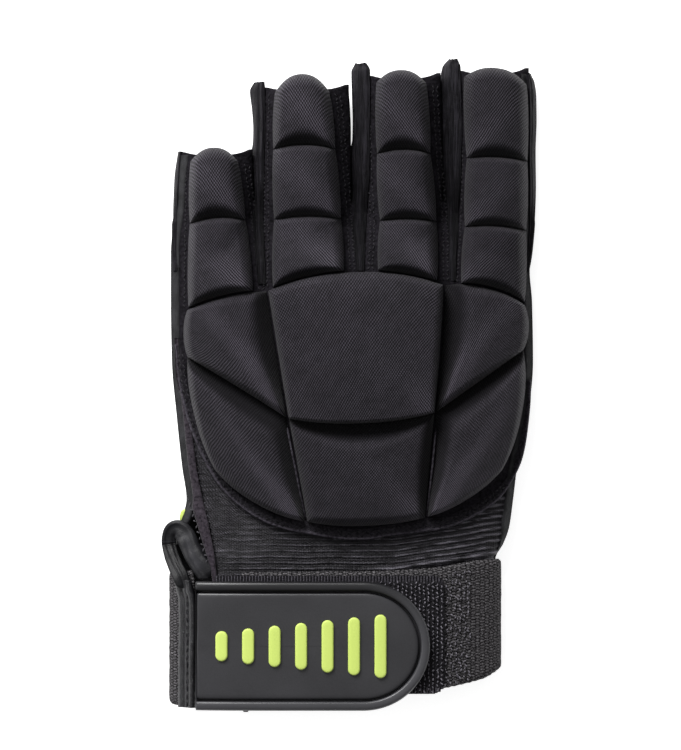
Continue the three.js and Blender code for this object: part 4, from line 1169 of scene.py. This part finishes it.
binding = {"thickness": 1.8, "count": 240, "around": 40, "wrinkle": 0.14, "fold": 0.42, "crease": 0.55,
           # each pinch: share of the length, how deep and how far it reaches
           "pinches": ((0.385, 0.5, 0.013), (0.62, 0.2, 0.03))}
bindingLine = makeTable("x y z width", [
    [-49.3, -61.0, 16.6, 4.0], [-50.6, -57.5, 16.0, 4.4], [-52.4, -53.5, 13.6, 4.4],
    [-53.7, -49.6, 10.8, 4.4], [-54.1, -46.6, 10.2, 4.4], [-53.4, -44.2, 10.6, 4.8],
    [-51.4, -43.5, 11.4, 5.6], [-49.2, -45.4, 12.4, 6.2], [-47.8, -48.8, 13.4, 6.2],
    [-46.1, -52.0, 14.4, 6.2], [-44.0, -55.0, 15.2, 6.4], [-41.9, -57.9, 15.6, 6.2],
])


def makeBinding():
    line = smoothCurve(np.column_stack(list(bindingLine.values())), binding["count"])
    path, width = line[:, :3], line[:, 3]
    along = tangents(path)
    across = np.cross(along, [0, 0, 1.0])
    across /= np.linalg.norm(across, axis=1, keepdims=True)
    up = np.cross(across, along)
    share = np.linspace(0, 1, len(path))
    full = np.ones_like(share)
    for spot, depth, reach in binding["pinches"]:
        full -= depth * bell(share, spot, reach)
    ends = np.sqrt(np.clip(np.minimum(share / 0.035, (1 - share) / 0.035), 0.02, 1))
    angle = np.linspace(0, 2 * math.pi, binding["around"], endpoint=False)
    flat = np.sign(np.cos(angle)) * np.abs(np.cos(angle)) ** 0.7
    tall = np.sign(np.sin(angle)) * np.abs(np.sin(angle)) ** 0.5
    reach = (width * ends / 2)[:, None] * flat[None]
    share, angle = share[:, None], angle[None]
    crease = binding["crease"] * bell(flat[None], 0.25 * np.cos(7 * share), 0.22) * (tall[None] > 0)
    rise = (binding["thickness"] / 2 * full * ends)[:, None] * (tall[None] - crease)
    rings = path[:, None] + across[:, None] * reach[..., None] + up[:, None] * rise[..., None]
    # Folds run lengthwise; small wrinkles cross them
    lengthwise = np.cos(2.0 * angle + 3.5 * share + 0.6) + 0.5 * np.cos(5 * angle - 5 * share)
    wave = binding["fold"] * lengthwise * 0.5 + binding["wrinkle"] * ripple(share * 60, angle * 2, 6, 31)
    outward = rings - path[:, None]
    outward /= np.linalg.norm(outward, axis=-1, keepdims=True) + 1e-9
    rings = rings + outward * wave[..., None] * ends[:, None, None]
    points, faces = closeTube(rings)
    # Painted light and shade: a painted highlight along the middle past the turn, painted shade on the slit's
    # side before it, and at the turn's crease a painted highlight line with painted shade just before it
    flat = np.broadcast_to(flat[None], reach.shape)
    lit = 0.15 + 0.14 * smoothStep(0.38, 0.45, share)
    lit = lit - 0.1 * smoothStep(-0.2, 0.8, flat) * (1 - smoothStep(0.3, 0.5, share))
    streak = smoothStep(0.5, 0.74, share) * (1 - smoothStep(0.88, 0.97, share))
    lit = lit + 0.65 * bell(flat, 0.1, 0.42) * streak
    lit = lit + 0.7 * bell(share, 0.402, 0.006) - 0.2 * bell(share, 0.375, 0.014)
    lit = np.append(np.clip(lit, 0, 1), [0.2, 0.2])
    makeSolid("slitBinding", points, faces, "bindingLeather", "trim_leather", ["slit_binding"], {"lit": lit})


# The wrist's outline as a walk round it from the top middle towards the thumb side

def wristOutline(steps=(240, 160)):
    row = {name: column[0] for name, column in hand.items()}
    middle, half = (row["left"] + row["right"]) / 2, (row["right"] - row["left"]) / 2
    upper = np.sin(np.linspace(0, 1, steps[0] + 1) * math.pi / 2)
    lower = np.linspace(1, 0, steps[1] + 1)[1:]
    top = seamHeight + row["rise"] * np.clip(1 - upper ** row["power"], 0, None) ** row["round"]
    bottom = palmHeight(middle + half * lower, row["left"], row["right"], row["floor"])
    right = np.column_stack([np.concatenate([upper, lower]) * half, np.concatenate([top, bottom])])
    left = right[-2:0:-1] * (-1, 1)
    outline = np.vstack([right, left, right[:1]]) + (middle, 0)
    return walked(outline), outline, steps[0]


wristDistance, wristLine, wristCorner = wristOutline()
wristRound = wristDistance[-1]


def onWrist(around, y, height, reach=2.5):
    # A point lifted off the wrist by a height, at a distance round it
    def at(distance):
        walk = np.mod(distance, wristRound)
        return np.stack([np.interp(walk, wristDistance, wristLine[:, axis]) for axis in (0, 1)], -1)
    here, along = at(around), at(around + reach) - at(around - reach)
    along = along / np.linalg.norm(along, axis=-1, keepdims=True)
    return np.stack([here[..., 0] - along[..., 1] * height, np.broadcast_to(y, here.shape[:-1]),
                     here[..., 1] + along[..., 0] * height], -1)


def aroundAt(x, height):
    # Distance round the wrist at which a point lifted by a height lies at x, on the top
    middle = wristLine[0, 0]
    walk = wristDistance[:wristCorner + 1]
    lifted = onWrist(walk, 0, height)[:, 0] - middle
    return np.sign(x - middle) * np.interp(np.abs(x - middle), lifted, walk)


strap = {"low": 0.3, "high": 2.0, "from": -32.0, "to": -47.0, "count": 460, "across": 44,
         "frayed": 0.16, "waves": [(0.08, 4, 42), (0.1, 1.5, 43)]}
strapEdges = makeTable("around top bottom", [
    [-30, -56.2, -94.4], [12, -55.8, -93.6], [30, -54.8, -91.4], [44, -52.6, -88.4], [52, -52.4, -85.6],
    [60, -56.4, -86.6], [76, -56.4, -90], [140, -56.4, -95], [158, -55.8, -96.4], [190, -56, -96.6]])


def makeStrap():
    start = float(aroundAt(strap["from"], strap["high"]))
    end = wristRound + float(aroundAt(strap["to"], strap["high"]))
    walk = np.linspace(start, end, strap["count"])
    edges = readTable(strapEdges, walk, "around")
    frayed = strap["frayed"] * ripple(walk, 0 * walk, 1.3, 41)
    share = np.linspace(0, 1, strap["across"])
    rounding = np.clip(np.minimum(share, 1 - share) / 0.03, 0, 1) ** 0.5
    sheets = []
    for level, order in ((strap["high"], share), (strap["low"], share[::-1])):
        y = edges["top"][:, None] + (edges["bottom"] - edges["top"])[:, None] * order[None] + frayed[:, None]
        ends = rounding if order is share else rounding[::-1]
        centre = (strap["high"] + strap["low"]) / 2
        height = centre + (level - centre) * ends[None]
        around = np.broadcast_to(walk[:, None], y.shape)
        height = height + uneven(around, y, strap["waves"])
        sheets.append((onWrist(around, y, height), np.stack([around, y], -1)))
    rings = np.concatenate([sheets[0][0], sheets[1][0]], 1)
    place = np.concatenate([sheets[0][1], sheets[1][1]], 1)
    points, faces = closeTube(rings)
    place = np.vstack([place.reshape(-1, 2), place[0].mean(0), place[-1].mean(0)])
    mesh = makeMesh("wristStrap", points, faces, place)
    weld(mesh, 0.001)
    piece = makePiece("wristStrap", mesh, "strapElastic", ["wrist_strap"])


patch = {"low": 2.1, "high": 3.0, "left": -40.0, "right": 28.6, "top": -57.2, "bottom": -92.6, "corner": 4.0,
         "columns": 500, "rows": 72, "selvedge": 2.3, "comb": 0.9}
loops = {"across": 1.3, "along": 1.2, "height": 0.8, "half": 0.42, "wire": 0.19, "from": 3.0, "until": 37.5,
         "size": (0.75, 1.25), "seed": 7}


def patchPlan(x, share):
    # y across the patch, with its two right corners rounded
    over = np.clip(x - patch["right"] + patch["corner"], 0, patch["corner"])
    turn = patch["corner"] - np.sqrt(patch["corner"] ** 2 - over ** 2)
    top, bottom = patch["top"] - turn, patch["bottom"] + turn
    return top + (bottom - top) * share


def makePatch():
    x = np.linspace(patch["left"], patch["right"], patch["columns"])[:, None]
    y = patchPlan(x, crowded(patch["rows"], 0.65))
    x = np.broadcast_to(x, y.shape)
    fromEdge = np.minimum(patch["top"] - y, y - patch["bottom"])
    comb = np.cos(2 * math.pi * x / patch["comb"]) * (1 - smoothStep(1.6, patch["selvedge"], fromEdge))
    height = patch["high"] + 0.25 * comb + 0.1 * ripple(x, y, 1.6, 51)
    upper = onWrist(aroundAt(x, patch["high"]), y, height)
    piece = makeSheet("loopPatch", upper, "pileGround", ["loop_patch"],
                      patch["high"] - patch["low"], {"comb": np.clip(comb, 0, 1)}, np.stack([x, y], -1))


def pileSpots(draw, left, right, across, along, scatter):
    # Staggered columns of spots for loops
    xs = np.arange(left, right, across)
    ys = np.arange(patch["bottom"] - 1, patch["top"] + 1, along)
    x, y = np.meshgrid(xs, ys, indexing="ij")
    y = y + (np.arange(len(xs)) % 2)[:, None] * along / 2
    return x.ravel() + draw.normal(0, scatter, x.size), y.ravel() + draw.normal(0, scatter, x.size)


def clearOfTab(x, y):
    half, reach = tab["halfWidth"] - 0.6, tab["roundLength"] - 0.6
    across = (y - tab["middle"]) / half
    return (across ** 2 + (np.clip(x - tab["roundFrom"], 0, None) / reach) ** 2) > 1


def pileMesh(name, x, y, level, draw):
    # Each loop is a bent arch of thread
    count = len(x)
    lean = draw.uniform(-0.5, 0.5, count)
    size = draw.uniform(*loops["size"], count)
    turn = draw.uniform(-1.0, 1.0, count)
    arch = np.linspace(0, math.pi, 7)
    angle = np.linspace(0, 2 * math.pi, 5, endpoint=False)
    side = np.stack([np.sin(turn), np.cos(turn)], -1)
    half = loops["half"] * size
    cx = x[:, None] + side[:, :1] * half[:, None] * np.cos(arch)
    cy = y[:, None] + side[:, 1:] * half[:, None] * np.cos(arch)
    cz = loops["height"] * size[:, None] * np.sin(arch)
    wire = loops["wire"] * size[:, None, None]
    ringX = cx[..., None] + wire * np.cos(angle) * side[:, 1][:, None, None]
    ringY = (cy[..., None] - wire * np.cos(angle) * side[:, 0][:, None, None]
             + lean[:, None, None] * cz[..., None] * 0.5)
    rings = onWrist(aroundAt(ringX, level), ringY, level - 0.1 + cz[..., None] + wire * np.sin(angle))
    each = len(arch) * len(angle)
    one = gridFaces(len(arch), len(angle), wrapColumns=True)
    faces = (one[None] + np.arange(count)[:, None, None] * each).reshape(-1, 4)
    return makeMesh(name, rings.reshape(-1, 3), faces)


def makeLoops():
    # Only where no pull tab covers them
    draw = np.random.default_rng(loops["seed"])
    x, y = pileSpots(draw, loops["from"], patch["right"] - 0.3, loops["across"], loops["along"], 0.1)
    top, bottom = patchPlan(x, 0.0), patchPlan(x, 1.0)
    keep = (y < top - 1.9) & (y > bottom + 0.4) & clearOfTab(x, y)
    pile = pileMesh("loopPile", x[keep], y[keep], patch["high"], draw)
    makePiece("loopPile", pile, "loopPile")
    # Looser pile on the strap itself, thinning out towards the thumb side
    x, y = pileSpots(draw, patch["right"] + 0.7, loops["until"], loops["across"], loops["along"], 0.3)
    edge = readTable(strapEdges, aroundAt(x, strap["high"]), "around")
    ragged = loops["until"] - 1.5 + 1.5 * ripple(x * 0, y, 9, 77)
    keep = (y < edge["top"] - 2.2) & (y > edge["bottom"] + 0.8) & (x < ragged)
    keep = keep & (draw.uniform(0, 1, x.size) < 0.9)
    pile = pileMesh("strapPile", x[keep], y[keep], strap["high"], draw)
    makePiece("strapPile", pile, "loopPile")


# Pull tab: loops drawn in from its outline, each at its own height

tab = {"left": -45.9, "roundFrom": 4.2, "roundLength": 20.1, "middle": -78.2, "halfWidth": 19.3, "face": 6.2,
       "straight": 90, "round": 56}
# The underside, then from the outline inwards the rim, the groove and the face
tabProfile = [
    (6.0, 3.4), (0.25, 3.5), (0.0, 3.9), (0.0, 5.6), (0.12, 6.1), (0.45, 6.5), (0.9, 6.68), (1.6, 6.74),
    (2.2, 6.7), (2.55, 6.55), (2.7, 6.2), (2.76, 5.2), (2.9, 4.3), (3.1, 4.1), (3.3, 4.3), (3.42, 5.3),
    (3.5, 5.8), (3.75, 6.02), (4.1, 6.14), (5.0, 6.2), (7.0, 6.24), (9.5, 6.3), (12.0, 6.34), (14.5, 6.37),
    (17.0, 6.39), (19.2, 6.4),
]


def tabLoop(inset, height, step):
    halfWidth, roundLength = tab["halfWidth"] - inset, tab["roundLength"] - inset
    straight = np.linspace(tab["left"] + 0.02 * step, tab["roundFrom"], tab["straight"], endpoint=False)
    angle = np.linspace(0, math.pi / 2, tab["round"])
    side = np.column_stack([straight, np.full(len(straight), halfWidth)])
    turn = (tab["roundFrom"], 0) + np.column_stack([np.sin(angle), np.cos(angle)]) * (roundLength, halfWidth)
    upper = np.vstack([side, turn])
    loop = np.vstack([upper, upper[-2::-1] * (1, -1)])
    return onWrist(aroundAt(loop[:, 0], tab["face"]), tab["middle"] + loop[:, 1], height)


def makeTab():
    rings = np.stack([tabLoop(inset, height, max(k - 1, 0)) for k, (inset, height) in enumerate(tabProfile)])
    around = rings.shape[1]
    faces = [tuple(face) for face in gridFaces(len(rings), around, wrapColumns=True)]
    faces.append(tuple(range(around)))
    faces.append(tuple((len(rings) - 1) * around + k for k in range(around - 1, -1, -1)))
    # Painted light and shade: the rim is lighter on its lower and round sides and darker on its upper side
    raised = np.array([[float(inset < 3.0)] for inset, height in tabProfile])
    downward = (tab["middle"] - rings[..., 1]) / tab["halfWidth"]
    downward = downward + smoothStep(tab["roundFrom"], 24, rings[..., 0])
    makeSolid("pullTab", rings.reshape(-1, 3), faces, "tabRubber", "tab_rubber", ["pull_tab"],
              {"rim": raised * np.clip(0.45 * downward, -0.4, 0.6)})


grip = {"count": 7, "from": -38.0, "pitch": 7.9, "width": 3.6, "shortest": 9.0, "longest": 19.0, "low": 6.3,
        "high": 7.3}
# Inset from the bar's outline in mm, and share of its height
gripProfile = [(0.0, -0.3), (0.0, 0.55), (0.08, 0.78), (0.25, 0.94), (0.5, 1.0), (1.2, 1.02), (1.79, 1.03)]


def makeGrips():
    for index in range(grip["count"]):
        x = grip["from"] + grip["pitch"] * index
        length = grip["shortest"] + (grip["longest"] - grip["shortest"]) * index / (grip["count"] - 1)
        rings = []
        for inset, level in gripProfile:
            radius, straight = grip["width"] / 2 - inset, (length - grip["width"]) / 2
            angle = np.linspace(0, math.pi, 17)
            half = np.column_stack([radius * np.cos(angle), straight + radius * np.sin(angle)])
            loop = np.vstack([half, -half])
            height = grip["low"] + (grip["high"] - grip["low"]) * level
            rings.append(onWrist(aroundAt(x + loop[:, 0], tab["face"]), tab["middle"] + loop[:, 1], height))
        name = f"grip_mark_{index + 1}"
        points, faces = closeTube(np.stack(rings))
        makeSolid(name + "_lime", points, faces, "limeRubber", "lime_accent", [name], mapped=False)


# The leather edge beside the pull tab, with a rolled fold against the tab

tabEdge = {"top": -58.6, "bottom": -96.8, "rows": 130, "level": 3.0, "leans": 1.2, "leansFrom": 6.0}
edgeSection = makeTable("x height", [
    [-51.6, 2.2], [-51.2, 3.0], [-50.4, 3.35], [-49.7, 3.3], [-49.4, 3.05], [-49.0, 3.4], [-48.4, 4.1],
    [-47.9, 4.25], [-47.6, 4.2], [-47.2, 4.9], [-46.8, 5.6], [-46.3, 5.9], [-45.8, 5.75], [-45.5, 5.2],
    [-45.45, 4.4], [-45.7, 3.4], [-46.4, 2.4]])


def makeTabEdge():
    y = np.linspace(tabEdge["top"], tabEdge["bottom"], tabEdge["rows"])[:, None]
    x = edgeSection["x"][None] + 0.25 * ripple(y, y * 0, 14, 61)
    x = x + 0.1 * ripple(x, y, 3.0, 63)
    height = edgeSection["height"][None] + 0.12 * ripple(x, y, 5, 62)
    # Its top leans outwards
    x = x - tabEdge["leans"] * np.clip((y - tabEdge["top"]) / tabEdge["leansFrom"] + 1, 0, 1)
    rings = onWrist(aroundAt(x, tabEdge["level"]), np.broadcast_to(y, x.shape), height)
    makeSolid("tabEdge", *closeTube(rings), "trimLeather", "trim_leather", ["tab_edge"])


# Two small flat tags; a negative length points down the wrist

sideTag = {"x": -49.6, "y": -40.9, "half": 1.4, "length": 3.3, "low": 6.75, "thickness": 0.8}
hemTag = {"x": -30.9, "y": -93.0, "half": 2.0, "length": -5.0, "low": 2.2, "thickness": 1.1}
tongueOutline = np.array([(-1, 0), (-1, 0.4), (-0.8, 0.75), (-0.3, 1),
                          (0.3, 1), (0.8, 0.75), (1, 0.4), (1, 0)])
tongueProfile = [(0.12, 0.0), (0.0, 0.25), (0.0, 0.75), (0.12, 1.0), (0.6, 1.0)]     # share inwards, up


def tongue(tag):
    plan = (tag["x"], tag["y"]) + tongueOutline * (tag["half"], tag["length"])
    rings = []
    for inward, level in tongueProfile:
        ring = plan + (plan.mean(0) - plan) * inward
        rings.append(np.column_stack([ring, np.full(len(ring), tag["low"] + tag["thickness"] * level)]))
    return closeTube(np.stack(rings))


def makeTags():
    makeSolid("sideTag", *tongue(sideTag), "limeRubber", "lime_accent", ["side_tag"], mapped=False)
    points, faces = tongue(hemTag)
    points = onWrist(aroundAt(points[:, 0], tabEdge["level"]), points[:, 1], points[:, 2])
    makeSolid("hemTag", points, faces, "trimLeather", "trim_leather", ["hem_tag"], mapped=False)


# Stitches: small bent capsules in rows

def makeStitches(name, line, up, pitch, length, width, zigzag=0.0, material="thread"):
    # pitch, length and width in mm; zigzag is the angle by which every other stitch turns
    distance = walked(line)
    spots = np.arange(pitch / 2, distance[-1], pitch)
    along = tangents(line)

    def at(values):
        return np.stack([np.interp(spots, distance, values[:, axis]) for axis in range(3)], -1)

    middle, forward, upward = at(line), at(along), at(up)
    forward /= np.linalg.norm(forward, axis=1, keepdims=True)
    side = np.cross(upward, forward)
    side /= np.linalg.norm(side, axis=1, keepdims=True)
    draw = np.random.default_rng(len(spots))
    turn = zigzag * np.where(np.arange(len(spots)) % 2, 1.0, -1.0) + draw.normal(0, 0.12, len(spots))
    cosine, sine = np.cos(turn)[:, None], np.sin(turn)[:, None]
    forward, side = forward * cosine + side * sine, side * cosine - forward * sine
    t = np.linspace(-1, 1, 7)
    thick = np.sqrt(np.clip(1 - np.abs(t) ** 2.4, 0.03, 1))
    angle = np.linspace(0, 2 * math.pi, 6, endpoint=False)
    middle = middle + draw.normal(0, 0.06, middle.shape)
    lengths = length * draw.uniform(0.75, 1.15, len(spots))
    reach = t[None, :, None, None] * lengths[:, None, None, None] / 2 * forward[:, None, None]
    aside = (thick[:, None] * np.cos(angle) * width / 2)[None, ..., None] * side[:, None, None]
    arched = thick[:, None] * np.sin(angle) * width / 2 + (0.25 * width * (1 - t ** 2))[:, None]
    rise = arched[None, ..., None] * upward[:, None, None]
    points = middle[:, None, None] + reach + aside + rise
    each = len(t) * len(angle)
    one = [tuple(face) for face in gridFaces(len(t), len(angle), wrapColumns=True)]
    one += [tuple(range(len(angle) - 1, -1, -1)), tuple(range(each - len(angle), each))]
    faces = [tuple(corner + k * each for corner in face) for k in range(len(spots)) for face in one]
    mesh = makeMesh(name, points.reshape(-1, 3), faces)
    weld(mesh, 0.0001)
    makePiece(name, mesh, material)


def onBack(x, y, lift):
    return np.column_stack([x, y, backHeight(x, y) + lift]), surfaceUp(x, y)


# Rows along the rim: name, inset, how far under its outer height, then length, width and zigzag
rimRows = [("rimStitches", 1.2, 0.4, 1.25, 0.4, 0.45), ("rimStitchesInner", 2.3, 0.6, 1.2, 0.36, -0.5)]
# Rows beside the finger pads: how far from the pads' sides, and the zigzag
leftRows = {"left": (-1.4, -0.5), "leftOuter": (-2.5, 0.7)}
rightRows = {"right": (1.6, -0.5), "rightOuter": (2.9, 0.7)}
fingerRows = {
    "pinky": {"left": (-0.91, -0.5), **rightRows},
    "ring": {**leftRows, **rightRows},
    "middle": {**leftRows, **rightRows},
    "index": {"left": (-0.91, -0.5)},
}


def makeAllStitches():
    for name, inset, under, length, width, zigzag in rimRows:
        line = rimPath(inset, rim["outer"] - under)[4:-46]      # the rows stop before the rim's ends
        makeStitches(name, line, surfaceUp(line[:, 0], line[:, 1]), 1.5, length, width, zigzag)
    for finger, rows in fingerRows.items():
        levels = np.array(fingerLevels[finger])[::-1]
        for side, (offset, zigzag) in rows.items():
            curve = smoothCurve(levels[:, :2] if side.startswith("left") else levels[:, 2:4], 160)
            x, y = curve[:, 0] + offset, curve[:, 1]
            within = y < fingers[finger]["y"][-1] - 0.8
            path, up = onBack(x[within], y[within], 0.05)
            makeStitches(f"stitches_{finger}_{side}", path, up, 1.3, 1.15, 0.38, zigzag)
    y = np.linspace(-54, -33, 90)
    path, up = onBack(slitEdgeAt(y) - 0.1, y, 0.75)
    makeStitches("bandStitches", path, up, 1.9, 1.1, 0.42, 0.8, material="bandThread")
    y = np.linspace(tabEdge["top"] - 1.5, tabEdge["bottom"] + 0.8, 110)
    path = onWrist(aroundAt(np.full(len(y), -48.1), tabEdge["level"]), y, 4.3)
    up = np.tile([0, 0, 1.0], (len(y), 1))
    makeStitches("tabEdgeStitches", path, up, 2.3, 1.7, 0.4)


def makeTableTop():
    half = table["size"] / 2
    mesh = bpy.data.meshes.new("table")
    corners = [(x * half, y * half, table["level"]) for x, y in ((-1, -1), (1, -1), (1, 1), (-1, 1))]
    mesh.from_pydata(corners, [], [(0, 1, 2, 3)])
    top = bpy.data.objects.new("table", mesh)
    material = bpy.data.materials.new("table")
    material.use_nodes = True
    shader = material.node_tree.nodes["Principled BSDF"]
    shader.inputs["Base Color"].default_value = (*table["colour"], 1)
    shader.inputs["Roughness"].default_value = 0.9
    shader.inputs["Specular IOR Level"].default_value = 0.1
    shader.inputs["Emission Color"].default_value = (1, 1, 1, 1)
    shader.inputs["Emission Strength"].default_value = table["glow"]
    mesh.materials.append(material)
    bpy.context.scene.collection.objects.link(top)


makeCamera()
makeLights()
makeTableTop()
makePalm()
makeBack()
print("back and palm made")
makeRibPanel()
makeSideBand()
makeRim()
makePads()
makeSeams()
print("pads made")
makeStrips()
makeThumbBinding()
makeBinding()
makeStrap()
makePatch()
makeLoops()
makeTab()
makeGrips()
makeTabEdge()
makeTags()
makeAllStitches()
print("trim made")
